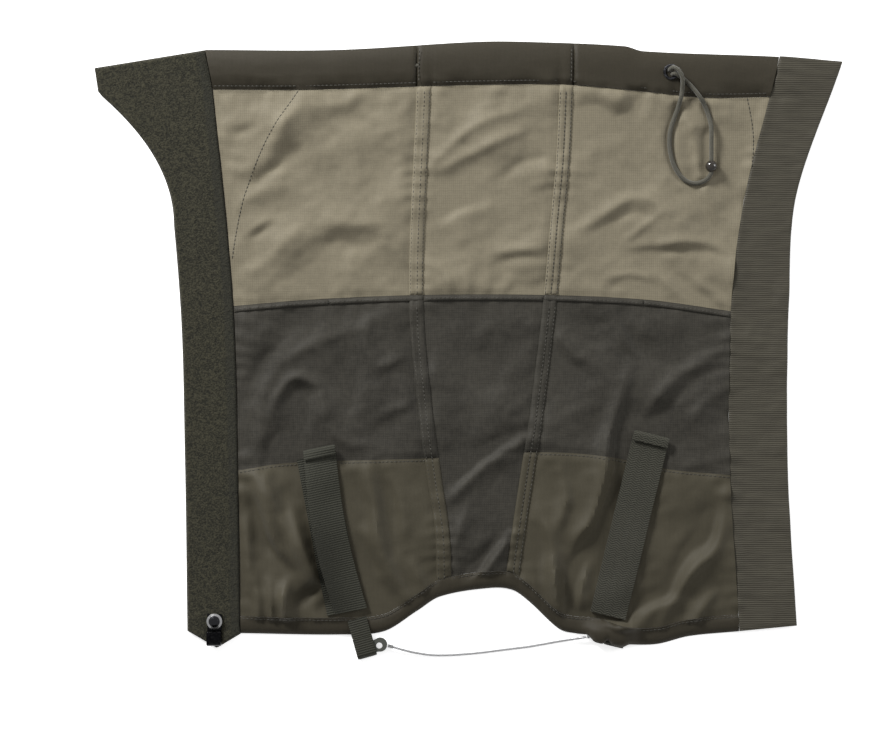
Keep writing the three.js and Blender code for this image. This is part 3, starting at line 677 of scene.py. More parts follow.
# Height, half-width and line of each fold. A negative height is a crease.
folds = [
    (2.4, 15, [(-118, 174), (-137, 142), (-154, 124)]),
    (1.8, 8, [(-113, 171), (-90, 172), (-70, 184)]),
    (2.0, 14, [(-132, 58), (-112, 80), (-88, 87), (-62, 86)]),
    (3.6, 9, [(-150, -86), (-140, -115), (-133, -136), (-118, -154), (-108, -168)]),
    (-3.0, 7, [(-136, -108), (-124, -140), (-112, -160), (-103, -176)]),
    (3.2, 7, [(-124, -110), (-114, -140), (-100, -170)]),
    (2.4, 6, [(-126, -161), (-129, -174), (-124, -188)]),
    (-2.8, 8, [(108, -62), (102, -88), (94, -118), (82, -138), (71, -165), (69, -188)]),
    (2.6, 5, [(88, -127), (80, -160), (76, -181)]),
    (2.4, 6, [(58, -148), (61, -168), (64, -186)]),
    (1.6, 7, [(-118, 172), (-128, 161), (-134, 149)]),
    (-2.2, 6, [(-118, 142), (-135, 128), (-150, 116)]),
    (-1.2, 5, [(-169, 149), (-156, 154), (-145, 157)]),
    (-1.5, 4, [(-153, 78), (-145, 83), (-138, 87)]),
    (1.2, 4, [(-153, 83), (-145, 88), (-138, 92)]),
    (1.6, 9, [(-149, 56), (-133, 70), (-118, 84)]),
    (1, 5, [(-160, 102), (-152, 108), (-139, 112)]),
    (1.4, 8, [(-97, 161), (-82, 147), (-76, 126)]),
    (-1, 7, [(-86, 168), (-68, 154), (-58, 133)]),
    (1.2, 8, [(-104, 95), (-83, 88), (-58, 90)]),
    (-1, 6, [(-100, 77), (-83, 73), (-58, 77)]),
    (1, 6, [(-51, 161), (-47, 140), (-48, 116)]),
    (1.8, 6, [(-26, 130), (6, 158), (36, 168)]),
    (1.8, 6, [(-24, 124), (12, 142), (44, 156)]),
    (-1.6, 5, [(22, 120), (38, 132), (61, 136)]),
    (-1.6, 5, [(-28, 92), (-8, 104), (8, 109)]),
    (1.4, 6, [(-20, 86), (-2, 96), (16, 101)]),
    (-1.2, 4, [(20, 62), (36, 65), (52, 65)]),
    (1.2, 5, [(20, 68), (36, 70), (52, 72)]),
    (1, 4, [(-16, 56), (-13, 47), (-13, 40)]),
    (1, 4, [(-2, 55), (0, 47), (0, 40)]),
    (0.9, 4, [(14, 53), (14, 47), (13, 40)]),
    (0.9, 4, [(28, 54), (27, 47), (26, 40)]),
    (-2.6, 5, [(72, 150), (79, 161), (89, 170), (95, 166), (100, 158), (107, 162), (113, 166), (118, 174),
               (121, 180)]),
    (1.8, 7, [(93, 181), (103, 174), (112, 178)]),
    (1.6, 6, [(125, 180), (141, 170), (155, 156), (161, 144), (163, 128), (165, 112), (173, 91), (184, 70)]),
    (-1.6, 6, [(131, 175), (149, 156), (155, 140), (158, 116), (166, 95), (177, 75)]),
    (1.8, 6, [(77, 84), (96, 96), (113, 106), (129, 104), (139, 96)]),
    (-1.4, 5, [(85, 81), (103, 91), (117, 97), (128, 94)]),
    (1, 3, [(109, 76), (123, 87), (137, 98)]),
    (1.6, 5, [(109, 72), (134, 74), (163, 76), (179, 70)]),
    (-1.4, 4, [(110, 68), (135, 69), (163, 70), (179, 65)]),
    (1.6, 5, [(133, 54), (139, 47), (145, 37)]),
    (1.6, 5, [(153, 54), (166, 43), (181, 31)]),
    (-1.2, 4, [(142, 55), (154, 44), (163, 35)]),
    (-1.6, 4, [(100, 45), (114, 47), (129, 45)]),
    (1.2, 4, [(100, 51), (114, 53), (129, 50)]),
    (1.2, 7, [(82, 130), (92, 119), (99, 105)]),
    (1.6, 7, [(-75, 16), (-99, 8), (-121, -2), (-138, -19), (-145, -40), (-143, -71)]),
    (2.6, 6, [(-138, -47), (-135, -36), (-131, -28), (-125, -21), (-118, -19), (-112, -21), (-105, -25),
              (-102, -33), (-99, -44)]),
    (-2.2, 8, [(-118, -29), (-117, -43), (-118, -58)]),
    (-1.6, 7, [(-128, 10), (-143, -7), (-152, -23)]),
    (-1.8, 5, [(-130, -61), (-136, -70), (-140, -78)]),
    (1.4, 5, [(-68, 23), (-71, 5), (-64, -11), (-45, -4)]),
    (1.3, 5, [(-49, -21), (-42, -37), (-55, -42), (-64, -47)]),
    (-1.1, 6, [(-86, 0), (-82, -24), (-86, -49)]),
    (1, 6, [(-97, -56), (-86, -64), (-68, -67)]),
    (3.4, 7, [(-142, -88), (-138, -100), (-133, -114), (-127, -127), (-121, -140), (-113, -156),
              (-105, -173)]),
    (-2.4, 6, [(-154, -93), (-149, -110), (-145, -126), (-138, -138), (-130, -147), (-121, -154)]),
    (-2.8, 4, [(-118, -176), (-111, -170), (-104, -163)]),
    (1.6, 5, [(-156, -119), (-154, -143), (-153, -168)]),
    (1.6, 4, [(-149, -157), (-147, -175), (-147, -194)]),
    (1.6, 4, [(-139, -161), (-138, -177), (-138, -195)]),
    (1.6, 4, [(-129, -168), (-128, -182), (-128, -195)]),
    (-3, 8, [(-68, -166), (-61, -177), (-51, -187)]),
    (2.2, 7, [(-72, -84), (-66, -105), (-63, -133), (-54, -157), (-42, -175)]),
    (-1.4, 4, [(-77, -131), (-70, -144), (-63, -154)]),
    (1.6, 8, [(-54, -84), (-47, -108), (-44, -136)]),
    (-1.4, 8, [(-59, -89), (-54, -115), (-51, -141)]),
    (2, 6, [(-40, -147), (-34, -161), (-31, -172)]),
    (1.8, 7, [(-13, -105), (1, -89), (14, -78), (41, -63)]),
    (-1.8, 7, [(-13, -96), (1, -82), (14, -70), (41, -54)]),
    (-1.4, 6, [(16, -107), (26, -112), (36, -91)]),
    (1.6, 5, [(1, -168), (11, -155), (30, -129)]),
    (-1.8, 5, [(-5, -163), (11, -144), (26, -124)]),
    (1.3, 6, [(-9, -136), (-4, -119), (1, -108)]),
    (-1.8, 6, [(109, 19), (116, 7), (123, -3), (136, -12)]),
    (1.6, 6, [(103, 23), (113, 2), (127, -9), (145, -15)]),
    (3.8, 7, [(112, -15), (103, -42), (97, -63), (96, -86), (87, -119), (79, -128), (70, -154)]),
    (-3.2, 6, [(112, -52), (106, -79), (92, -120), (68, -171), (71, -183)]),
    (2, 6, [(50, -112), (58, -136), (61, -161), (68, -178)]),
    (1.6, 6, [(123, -46), (140, -23), (159, -10), (177, 0)]),
    (-1.4, 6, [(128, -51), (145, -32), (162, -19), (179, -9)]),
    (1.2, 6, [(155, -49), (166, -36), (179, -28)]),
    (1.5, 6, [(64, 14), (72, -1), (85, -8)]),
    (-1.2, 6, [(61, 4), (71, -12), (86, -19)]),
    (-1.8, 5, [(143, -159), (148, -149), (153, -140), (167, -127)]),
    (-2, 5, [(106, -183), (124, -175), (140, -170), (143, -161)]),
    (2.6, 7, [(136, -187), (156, -154), (172, -138), (179, -103)]),
    (1.6, 6, [(120, -190), (131, -179), (145, -175)]),
    (-1.6, 8, [(173, -108), (170, -122), (166, -136)]),
    (1.6, 5, [(154, -198), (162, -182), (173, -168)]),
    (1.5, 5, [(64, -84), (68, -105), (61, -126)]),
]


def fold_relief():
    """The height that the folds add: a rounded crest along each line, dying away to its sides and ends."""
    height = np.zeros_like(X)
    for rise, width, line in folds:
        route = smooth_route([(x, y, 0) for x, y in line], 4)[:, :2]
        reach = 5 * width
        low, high = route.min(axis=0) - reach, route.max(axis=0) + reach
        columns = slice(*np.searchsorted(field_x, [low[0], high[0]]))
        rows = slice(*np.searchsorted(field_y, [low[1], high[1]]))
        x, y = X[rows, columns], Y[rows, columns]
        nearest = np.full(x.shape, 1e9)
        along = np.zeros(x.shape)
        for k in range(len(route) - 1):
            step_x, step_y = route[k + 1] - route[k]
            t = ((x - route[k, 0]) * step_x + (y - route[k, 1]) * step_y) / (step_x**2 + step_y**2)
            t = np.clip(t, 0, 1)
            distance = np.hypot(x - route[k, 0] - t * step_x, y - route[k, 1] - t * step_y)
            closer = distance < nearest
            nearest[closer] = distance[closer]
            along[closer] = (k + t[closer]) / (len(route) - 1)
        taper = np.sin(np.pi * np.clip(0.08 + 0.84 * along, 0, 1)) ** 0.7
        rounding = 0.4 * width
        crest = np.exp(-(np.hypot(nearest, rounding) - rounding) / (0.55 * width))
        height[rows, columns] += rise * crest * taper
    return height


def waves(size, amount, stretch=1.0, count=40):
    """Seeded random ripples of about one size."""
    total = np.zeros_like(X)
    for _ in range(count):
        angle = rng.uniform(0, math.pi)
        number = 2 * math.pi / (size * rng.uniform(0.7, 1.5))
        total += np.sin(number * (X * math.cos(angle) * stretch + Y * math.sin(angle)) + rng.uniform(0, 6.3))
    return amount * total / math.sqrt(count)


def gathers(distance, along, pitch, amount, reach):
    """Puckers that cross a seam, deepest at it. distance is from the seam and along is down it."""
    wander = 0.6 * pitch * np.sin(along / (2.3 * pitch)) + 0.3 * pitch * np.sin(along / (0.9 * pitch) + 1)
    depth = 0.45 + 0.55 * np.sin(along / (1.9 * pitch) + 2) * np.sin(along / (3.7 * pitch) + pitch)
    slant = 0.25 * np.abs(distance)
    pucker = np.sin(2 * math.pi * (along + wander + slant) / pitch)
    return amount * depth * pucker * np.exp(-np.abs(distance) / reach)


def groove(distance, depth, width):
    """The dip that a row of stitches pulls into the cloth."""
    return -depth * np.exp(-((distance / width) ** 2))


# The folds are deeper at the foot, where the elastic draws the cloth in.
foot_gain = 0.7 / (1 + np.exp((Y - ankle_y - 20) / 12))
relief = fold_relief() * (1.0 + foot_gain)
relief += waves(75, 0.75) + waves(34, 0.5) + waves(13, 0.14) + waves(6, 0.04)
for line in (left_seam, right_seam, left_seam_edge, right_seam_edge):
    relief += gathers(X - line(Y), Y, 11, 0.35, 7) + groove(X - line(Y), 0.8, 2.4)
for line in (tape_inner, flap_inner):
    relief += gathers(X - line(Y), Y, 13, 0.6, 12)
relief += groove(X - tape_inner(Y), 0.8, 4) - groove(X - flap_inner(Y), 0.8, 5)
for line, amount in ((band_seam, 0.3), (waist_seam, 0.35), (ankle_seam, 0.3)):
    relief += gathers(Y - line(X), X, 12, amount, 10) + groove(Y - line(X), 0.7, 2.2)
relief += gathers(Y - hem_line(X), X, 10, 0.4, 14)


def blurred(field, size):
    """The field smoothed over about size millimetres."""
    reach = int(2 * size / cell)
    weights = np.exp(-((np.arange(-reach, reach + 1) * cell / size) ** 2))
    weights /= weights.sum()

    def blur(line):
        return np.convolve(np.pad(line, reach, mode="edge"), weights, "valid")

    return np.apply_along_axis(blur, 0, np.apply_along_axis(blur, 1, field))


def soft_mask(along, aside, length, half_width, margin):
    """1 inside a rectangle, falling to 0 over the margin."""
    inside = np.minimum(np.minimum(along, length - along), half_width - np.abs(aside))
    return np.clip(inside / margin + 1, 0, 1)


cloth_rest = 2.3  # height of the cloth's upper face where it has no fold
cloth_least = 0.95  # the same where it lies on the table
fold_gain = 1.7
levelling = 2.2  # how sharply a crease levels out on the table
thread_blur = 1.5
strap_blur = 7
lie = cloth_rest + fold_gain * relief
lie = cloth_least + np.logaddexp(0, (lie - cloth_least) * levelling) / levelling

# Under a strap the cloth is nearly level. Each strap has a start, a heading in degrees and a length.
strap_lines = {
    "left": ((-83.4, -182.5), 101.1, 117.0),
    "right": ((97.2, -185.3), 76.3, 130.8),
}
lie = blurred(lie, thread_blur)
calm = blurred(lie, strap_blur)
for start, heading, length in strap_lines.values():
    turn = math.radians(heading)
    along = (X - start[0]) * math.cos(turn) + (Y - start[1]) * math.sin(turn)
    aside = (X - start[0]) * math.sin(turn) - (Y - start[1]) * math.cos(turn)
    mask = soft_mask(along, aside, length, 12, 4)
    lie = lie * (1 - mask) + calm * mask

# The cloth stays under the drawcord loop, its bead and the stretch that the bead slides along.
bead_travel = 20
for x, y, z in loop_route[::2]:
    if y < band_y:
        distance = np.hypot(X - x, Y - y)
        lie = np.minimum(lie, z - cord_radius - 0.15 + np.maximum(distance - 1.2, 0) * 0.5)
for y in np.linspace(bead_y, bead_y + bead_travel, 12):
    distance = np.hypot(X - bead_x, Y - y)
    lie = np.minimum(lie, cloth_least + np.maximum(distance - 3.5, 0) * 0.4)

# Over the right cable fitting the cloth and its hem are held up in a low dome.
dome_x, dome_y = 99, -200
dome_wide, dome_deep, dome_tall = 17, 9.5, 6.4
dome = dome_tall * np.exp(-(((X - dome_x) / dome_wide) ** 4)) * np.exp(-(((Y - dome_y) / dome_deep) ** 4))
lie = np.maximum(lie, 1.2) + np.where(Y < ankle_y, dome, 0)


def height(x, y, field=None):
    """The height of the cloth's upper face at any place of the pattern."""
    table = lie if field is None else field
    u = np.clip((np.asarray(x, float) - field_x[0]) / cell, 0, len(field_x) - 1.001)
    v = np.clip((np.asarray(y, float) - field_y[0]) / cell, 0, len(field_y) - 1.001)
    i, j = u.astype(int), v.astype(int)
    p, q = u - i, v - j
    low = table[j, i] * (1 - p) + table[j, i + 1] * p
    high = table[j + 1, i] * (1 - p) + table[j + 1, i + 1] * p
    return low * (1 - q) + high * q


# ---- Cloth panels ----
# Khaki panels above the waist seam, dark grey below it and olive at the foot of the sides: plain-woven
# nylon, matt with a faint silky lift on the crests. Each side is made in two halves, one next to the back
# and one at the front edge. The halves meet edge to edge.


def shade_wire(finish, colour, amount):
    """A wired colour, darkened by a fixed amount."""
    return finish.blend(1.0 - amount, colour, (0.0, 0.0, 0.0))


def cloth_finish(name, colour, lift, thread, mottle, roughness):
    """Woven cloth: fine crossing threads and uneven dye."""
    finish = Finish(name, roughness, Sheen_Weight=lift, Sheen_Roughness=0.45, Specular_IOR_Level=0.2)
    x, y = finish.axis("X"), finish.axis("Y")
    sway = finish.noise(4.0, 2.0) * 0.8
    warp = ((x + sway) * (turns / thread)).sine() * 0.5 + 0.5
    weft = ((y + sway) * (turns / (thread * 0.83))).sine() * 0.5 + 0.5
    weave = warp * weft * 0.5 + (warp + weft) * 0.25
    slub = finish.noise(1.6, 2.0, (0.25, 1, 1)) * 0.5 + finish.noise(1.6, 2.0, (1, 0.25, 1)) * 0.5
    cloud = finish.noise(45.0, 4.0)
    tone = slub.step(0.3, 0.7) * 0.6 + cloud.step(0.3, 0.7) * 0.4
    dyed = finish.blend(tone, shade(colour, 1 - mottle), shade(colour, 1 + mottle))
    finish.colour(finish.blend(weave * 0.6, shade_wire(finish, dyed, 0.86), shade(colour, 1.35)))
    finish.bump(weave * 0.6 + slub * 0.4, 0.12)
    return finish


khaki = cloth_finish("khaki_nylon", (0.188, 0.165, 0.115), 0.14, 1.4, 0.14, 0.64)
grey = cloth_finish("grey_nylon", (0.0365, 0.0335, 0.0265), 0.06, 1.5, 0.4, 0.68)
olive = cloth_finish("olive_nylon", (0.0565, 0.0495, 0.0325), 0.05, 0.9, 0.1, 0.62)


def corner(upright, level):
    """Where a line up the leg meets a line across it."""
    y = level(0.0)
    for _ in range(20):
        y = level(upright(y))
    return float(upright(y)), float(y)


def patch(left, right, bottom, top, columns, rows):
    """Flat points of a grid between two lines up the leg and two lines across it."""
    sw, se, ne, nw = corner(left, bottom), corner(right, bottom), corner(right, top), corner(left, top)
    u, v = np.linspace(0, 1, columns + 1), np.linspace(0, 1, rows + 1)[:, None]
    bottom_x, top_x = sw[0] + (se[0] - sw[0]) * u, nw[0] + (ne[0] - nw[0]) * u
    left_y, right_y = sw[1] + (nw[1] - sw[1]) * v, se[1] + (ne[1] - se[1]) * v
    x = (1 - v) * bottom_x + v * top_x + (1 - u) * left(left_y) + u * right(right_y)
    y = (1 - v) * bottom(bottom_x) + v * top(top_x) + (1 - u) * left_y + u * right_y
    x -= (1 - u) * (1 - v) * sw[0] + u * (1 - v) * se[0] + (1 - u) * v * nw[0] + u * v * ne[0]
    y -= (1 - u) * (1 - v) * sw[1] + u * (1 - v) * se[1] + (1 - u) * v * nw[1] + u * v * ne[1]
    return x, y


def slab(x, y, upper, lower):
    """A closed sheet between two heights over a flat grid."""
    rows, columns = x.shape
    upper, lower = np.broadcast_to(upper, x.shape), np.broadcast_to(lower, x.shape)
    count = rows * columns
    points = np.concatenate([np.stack([x, y, z], -1).reshape(-1, 3) for z in (upper, lower)])
    faces = []
    for j in range(rows - 1):
        for i in range(columns - 1):
            a = j * columns + i
            faces.append((a, a + 1, a + 1 + columns, a + columns))
            faces.append((count + a, count + a + columns, count + a + 1 + columns, count + a + 1))
    rim = list(range(columns))
    rim += [j * columns + columns - 1 for j in range(1, rows)]
    rim += [(rows - 1) * columns + i for i in range(columns - 2, -1, -1)]
    rim += [j * columns for j in range(rows - 2, 0, -1)]
    for a, b in zip(rim, rim[1:] + rim[:1]):
        faces.append((a, count + a, count + b, b))
    return points, faces


panel_span = 1.6  # between the points of a panel's mesh


def cloth_panel(name, left, right, bottom, top, finish, zone, slot, *nodes):
    """One cut panel, laid over the folds, with its mesh spaced from its flat size."""
    width = abs(right(waist_y) - left(waist_y))
    tall = abs(top(back_x) - bottom(back_x))
    x, y = patch(left, right, bottom, top, int(width / panel_span), int(tall / panel_span))
    upper = height(x, y)
    points, faces = slab(x, y, upper, upper - cloth)
    panel = add_piece(name, points, faces, finish)
    settle(panel, zone, slot, *nodes)


rows = [
    ("upper", waist_seam, band_seam, khaki, "khaki_cloth"),
    ("middle", ankle_seam, waist_seam, grey, "grey_cloth"),
    ("lower", hem_line, ankle_seam, olive, "olive_cloth"),
]
for row, bottom, top, finish, slot in rows:
    for name, left, right, zone in (
        ("left_" + row + "_front", tape_inner, left_middle, "left_edge"),
        ("left_" + row + "_side", left_middle, left_seam, "left_side"),
        ("right_" + row + "_side", right_seam, right_middle, "right_side"),
        ("right_" + row + "_front", right_middle, moved(flap_inner, 0.1), "right_edge"),
    ):
        node = name.split("_")[0] + "_" + row + "_panel"
        cloth_panel(name + "_cloth", left, right, bottom, top, finish, zone, slot, node)
cloth_panel("back_upper_cloth", left_seam, right_seam, waist_seam, band_seam, khaki, "back", "khaki_cloth",
            "back_upper_panel")
cloth_panel("back_lower_cloth", left_seam, right_seam, hem_line, waist_seam, grey, "back", "grey_cloth",
            "back_lower_panel")

# ---- Seams and waist strip ----
# The back is joined to each side by a felled seam, a doubled strip of cloth sewn down in two rows, and a
# narrow turned edge runs under the waist seam.


def strip(name, left, right, bottom, top, rise, finish, zone, slot, *nodes, valley=None):
    """A strip of doubled cloth on the panels. valley is where along its width it is sewn down."""
    wide = abs(right(waist_y) - left(waist_y))
    tall = abs(top(back_x) - bottom(back_x))
    columns, lines = max(8, int(wide / 1.5)), max(6, int(tall / 1.5))
    x, y = patch(left, right, bottom, top, columns, lines)
    u, v = np.linspace(0, 1, columns + 1), np.linspace(0, 1, lines + 1)[:, None]
    edge = np.minimum(np.minimum(u, 1 - u) * wide, np.minimum(v, 1 - v) * tall)
    pad = np.clip(edge / 1.3, 0, 1) ** 0.6
    if valley is not None:
        pad = pad * (1 - 0.75 * np.exp(-((np.abs(u - valley) * wide / 1.0) ** 2)))
        pad = pad * (0.86 + 0.14 * np.sin(y * 2 * math.pi / 3.3))
    upper = height(x, y) + 0.25 + rise * pad
    points, faces = slab(x, y, upper, upper - binding)
    piece = add_piece(name, points, faces, finish, sharp_angle=60)
    settle(piece, zone, slot, *nodes)


binding = 0.8
seam_rise = 0.95
waist_rise = 1.1
for side, inner, outer, valley in (
    ("left", left_seam_edge, left_seam, 0.42),
    ("right", right_seam, right_seam_edge, 0.5),
):
    zone = side + "_side"
    for part, bottom, top, finish, slot, node in (
        ("calf", waist_seam, band_seam, khaki, "khaki_cloth", "_seam_upper"),
        ("shin", ankle_seam, waist_seam, grey, "grey_cloth", "_seam_lower"),
        ("foot", hem_line, ankle_seam, olive, "olive_cloth", "_seam_lower"),
    ):
        strip(side + "_seam_" + part, inner, outer, bottom, top, seam_rise, finish, zone, slot, side + node,
              valley=valley)

strip_top = moved(waist_seam, -0.6)
strip_bottom = moved(waist_seam, -4.6)
waist_parts = [("left", "_" + part, *lines) for part, *lines in left_parts]
waist_parts += [("back", "", left_seam, right_seam, "back")]
waist_parts += [("right", "_" + part, *lines) for part, *lines in right_parts]
for side, part, left, right, zone in waist_parts:
    strip(side + "_waist" + part, left, right, strip_bottom, strip_top, waist_rise, grey, zone, "olive_cloth",
          side + "_waist_strip")

# ---- Calf band and hems ----
# The calf band is a sleeve of olive nylon for the drawcord, sewn in three lengths. The hems are folded
# cloth over flat elastic. All of them are closed flattened tubes with a rounded fold on the free edge.


def sleeve(name, left, right, bottom, top, tall, lines, zone, *nodes, fold_above=False, lift=None, ends=()):
    """A flattened tube between two lines, as high as tall. ends says at which ends it is sewn down."""
    wide = abs(float(right(bottom(back_x)) - left(bottom(back_x))))
    columns = max(12, int(wide / 1.5))
    x, y = patch(left, right, bottom, top, columns, lines)
    v = np.linspace(0, 1, lines + 1)[:, None]
    if fold_above:
        v = 1 - v
    sewn = 0.7 + height(x, y)
    full = tall * (1 - (1 - v) ** 5 * 0.8)
    into = np.clip((v - 0.62) / 0.38, 0, 1) ** 1.5
    puff = 0.55 * height(x, y, relief) * v
    most = tall if fold_above else 9
    upper = np.minimum(full * (1 - into) + np.minimum(sewn, most) * into + np.clip(puff, -0.6, 0.3), most)
    u = np.linspace(0, 1, columns + 1)
    for end in ends:
        upper = upper - 1.6 * np.exp(-((np.abs(u - end) * wide / 1.1) ** 2))
    raised = 0 if lift is None else height(x, y, lift)
    points, faces = slab(x, y, np.maximum(upper, 0.6) + raised, 0.05 + raised)
    piece = add_piece(name, points, faces, olive_sleeve, sharp_angle=50)
    settle(piece, zone, "olive_cloth", *nodes)


olive_sleeve = cloth_finish("olive_sleeve_nylon", (0.033, 0.028, 0.018), 0.04, 0.9, 0.12, 0.6)
under_edge = moved(band_seam, 0.15)
band_left_parts = [left_parts[0], ("side", left_middle, left_seam_edge, "left_side")]
band_right_parts = [("side", right_seam_edge, right_middle, "right_side"), right_parts[1]]
band_lines = 22
for part, left, right, zone in band_left_parts:
    sleeve("calf_band_left_" + part, left, right, under_edge, calf_edge, band_height, band_lines, zone,
           "top_band_left", fold_above=True, ends=(1,) if part == "side" else ())
sleeve("calf_band_centre", left_seam_edge, right_seam_edge, under_edge, calf_edge, band_height, band_lines,
       "back", "top_band_centre", fold_above=True, ends=(0, 1))
for part, left, right, zone in band_right_parts:
    sleeve("calf_band_right_" + part, left, right, under_edge, calf_edge, band_height, band_lines, zone,
           "top_band_right", fold_above=True, ends=(0,) if part == "side" else ())

hem_height = 3.0
hem_lines = 12
right_hem_lines = 14


def right_foot_edge(x):
    """The right hem droops in a small lobe over the lug of the cable fitting."""
    lobes = 4.8 * np.exp(-(((x - 90.5) / 5.5) ** 4)) + 3.2 * np.exp(-(((x - 103.5) / 6.5) ** 4))
    return foot_edge(x) - lobes + 1.5 * np.exp(-(((x - 97) / 1.5) ** 2))


over_hem = moved(hem_line, -0.15)
for part, left, right, zone in left_parts:
    sleeve("left_hem_" + part, left, right, foot_edge, over_hem, hem_height, hem_lines, zone, "left_hem")
sleeve("heel_hem_fold", left_seam, right_seam, foot_edge, over_hem, hem_height, hem_lines, "back", "heel_hem")
for part, left, right, zone in right_parts:
    sleeve("right_hem_" + part, left, right, right_foot_edge, over_hem, hem_height, right_hem_lines, zone,
           "right_hem_back", "right_hem_front", lift=dome)

# ---- Hidden drawcord and elastic ----
# The drawcord runs inside the calf band, and flat elastic tape inside the hems draws them into gathers.

plain_elastic = Finish("woven_elastic", 0.85)
plain_elastic.colour(plain_elastic.blend(plain_elastic.noise(1.2), (0.02, 0.02, 0.018), (0.045, 0.045, 0.04)))
plain_elastic.bump(plain_elastic.noise(0.6), 0.2)


def band_middle(x):
    return (calf_edge(x) + band_seam(x)) / 2


band_wall = 0.6
cord_in_band = band_wall + gap + cord_radius
eyelet_clear = 7.5
for name, from_x, to_x, zone, node in (
    ("drawcord_left_front", left_tape_x + 10, -118, "left_edge", "drawcord_left"),
    ("drawcord_left_side", -118, left_fold_x - 1.4, "left_side", "drawcord_left"),
    ("drawcord_behind", left_fold_x + 2.5, right_fold_x - 8, "back", "drawcord_centre"),
    ("drawcord_right_side", right_fold_x + 3.5, eyelet_x - eyelet_clear, "right_side", "drawcord_right"),
    ("drawcord_right_front", eyelet_x + eyelet_clear, flap_x - 10, "right_edge", "drawcord_front"),
):
    stops = np.linspace(from_x, to_x, 40)
    route = np.stack([stops, band_middle(stops), np.full(40, cord_in_band)], axis=1)
    points, faces, uv = sweep(route, ring(cord_radius, 10))
    run = add_piece(name + "_braid", points, faces, braid, uv)
    settle(run, zone, "drawcord", node)

elastic_low = 0.9
elastic_thick = 0.6
for name, left, right, zone, nodes in (
    ("left_elastic_front", tape_inner, left_middle, "left_edge", ["left_hem_elastic"]),
    ("left_elastic_side", left_middle, left_seam, "left_side", ["left_hem_elastic"]),
    ("heel_elastic_back", left_seam, right_seam, "back", ["heel_elastic"]),
    ("right_elastic_side", right_seam, right_middle, "right_side",
     ["right_elastic_back", "right_elastic_front"]),
    ("right_elastic_edge", right_middle, flap_inner, "right_edge", ["right_elastic_front"]),
):
    x, y = patch(moved(left, 2), moved(right, -2), moved(foot_edge, 2.5), moved(hem_line, -2), 30, 4)
    low = elastic_low + (height(x, y, dome) if "right" in name else 0)
    points, faces = slab(x, y, low + elastic_thick, low)
    settle(add_piece(name, points, faces, plain_elastic), zone, "elastic", *nodes)

# ---- Front edges: loop tape and flap ----
# A wide loop tape on a cloth backing runs down the left edge, with a flared tab at the calf and a pointed
# foot. The flap down the right edge is stiff ribbed nylon with hook tape under it.

tab_fall = 12.6  # how far the tab's corner is below the calf edge
tab_tall = 17.5
tab_low = calf_y - tab_fall - tab_tall
flare_y = mid_calf_y - 22
flare_ends = [(tab_x + 2.6, tab_low), (tab_x + 22, tab_low - 17), (tape_outer(flare_y), flare_y + 44),
              (tape_outer(flare_y), flare_y)]


def bent_line(ends, t):
    """Points at shares t of a curve from the first place to the last, pulled towards the two between."""
    weights = ((1 - t) ** 3, 3 * (1 - t) ** 2 * t, 3 * (1 - t) * t**2, t**3)
    return sum(weight[:, None] * np.array(place, float) for weight, place in zip(weights, ends))


flare = bent_line(flare_ends, np.linspace(0, 1, 24))


def tape_left(y):
    y = np.asarray(y, float)
    flared = np.interp(y, np.append(flare[::-1, 1], calf_y - tab_fall), np.append(flare[::-1, 0], tab_x))
    return np.where(y < flare_y, tape_outer(y), flared)


def tape_top(x):
    return calf_y - tab_fall * (tape_inner(calf_y) - x) / (tape_inner(calf_y) - tab_x)


def tape_bottom(x):
    outer, inner = tape_outer(foot_y), tape_inner(foot_y)
    return np.interp(x, [outer, (outer + inner) / 2 + 2, inner], [foot_y + 2, foot_y - 10.1, foot_y])


def edge_piece(name, sides, columns, lines, low, thick, finish, zone, slot, node, wave=0.0, fuzz=0.0):
    """A stiff strip down a front edge, between its left, right, bottom and top sides. Its UVs are in
    millimetres, across from its right and up."""
    x, y = patch(*sides, columns, lines)
    edge = np.minimum(np.arange(columns + 1), np.arange(columns, -1, -1))
    down = np.minimum(np.arange(lines + 1), np.arange(lines, -1, -1))[:, None]
    rim = np.minimum(edge, down) == 0
    swell = wave * height(x, y, relief)
    upper = low + thick + np.clip(swell, -0.2, most_swell)
    upper = upper + np.where(rim, -0.35 * thick, fuzz * rng.uniform(-1, 1, x.shape))
    points, faces = slab(x, y, upper, low + np.clip(swell, 0, most_swell))
    across_mm = np.broadcast_to(x[:, -1:] - x, x.shape).ravel()
    uv = np.stack([np.tile(across_mm, 2), np.tile(y.ravel(), 2)], axis=1)
    piece = add_piece(name, points, faces, finish, uv, sharp_angle=70)
    settle(piece, zone, slot, node)


def drawn_in(left, right, bottom, top, by):
    """The four sides of a strip, each moved inwards."""
    return moved(left, by), moved(right, -by), moved(bottom, by), moved(top, -by)


most_swell = 1.4
on_table = 0.05
pile = Finish("loop_pile", 0.95, Sheen_Weight=0.12, Sheen_Roughness=0.6, Specular_IOR_Level=0.15)
# The pile's tone is pulled partway towards one dark grey along the tape's inner edge, within 5 mm of it and
# fading out by 7.5 mm.
inner_edge_stripe = 1.0 - pile.along("X").step(5.0, 7.5)
tufts = pile.noise(1.1, 3.0)
clumps = pile.noise(3.4, 3.0)
lit = tufts.step(0.36, 0.66) * 0.75 + clumps.step(0.36, 0.66) * 0.25
pile_colour = pile.blend(lit, (0.009, 0.009, 0.005), (0.044, 0.041, 0.024))
pile.colour(pile.blend(inner_edge_stripe * 0.55, pile_colour, (0.018, 0.018, 0.013)))
pile.bump(tufts * 0.7 + clumps * 0.3, 1.1)

tape_sides = (tape_left, tape_inner, tape_bottom, tape_top)
pile_thick = 1.5
edge_piece("loop_tape_pile", drawn_in(*tape_sides, 0.7), 34, 330, cloth + gap, pile_thick, pile, "left_edge",
           "loop_pile", "loop_tape", fuzz=0.16)
edge_piece("tape_backing_cloth", drawn_in(*tape_sides, 0.1), 24, 120, on_table, cloth, olive, "left_edge",
           "olive_cloth", "front_tape_backing")

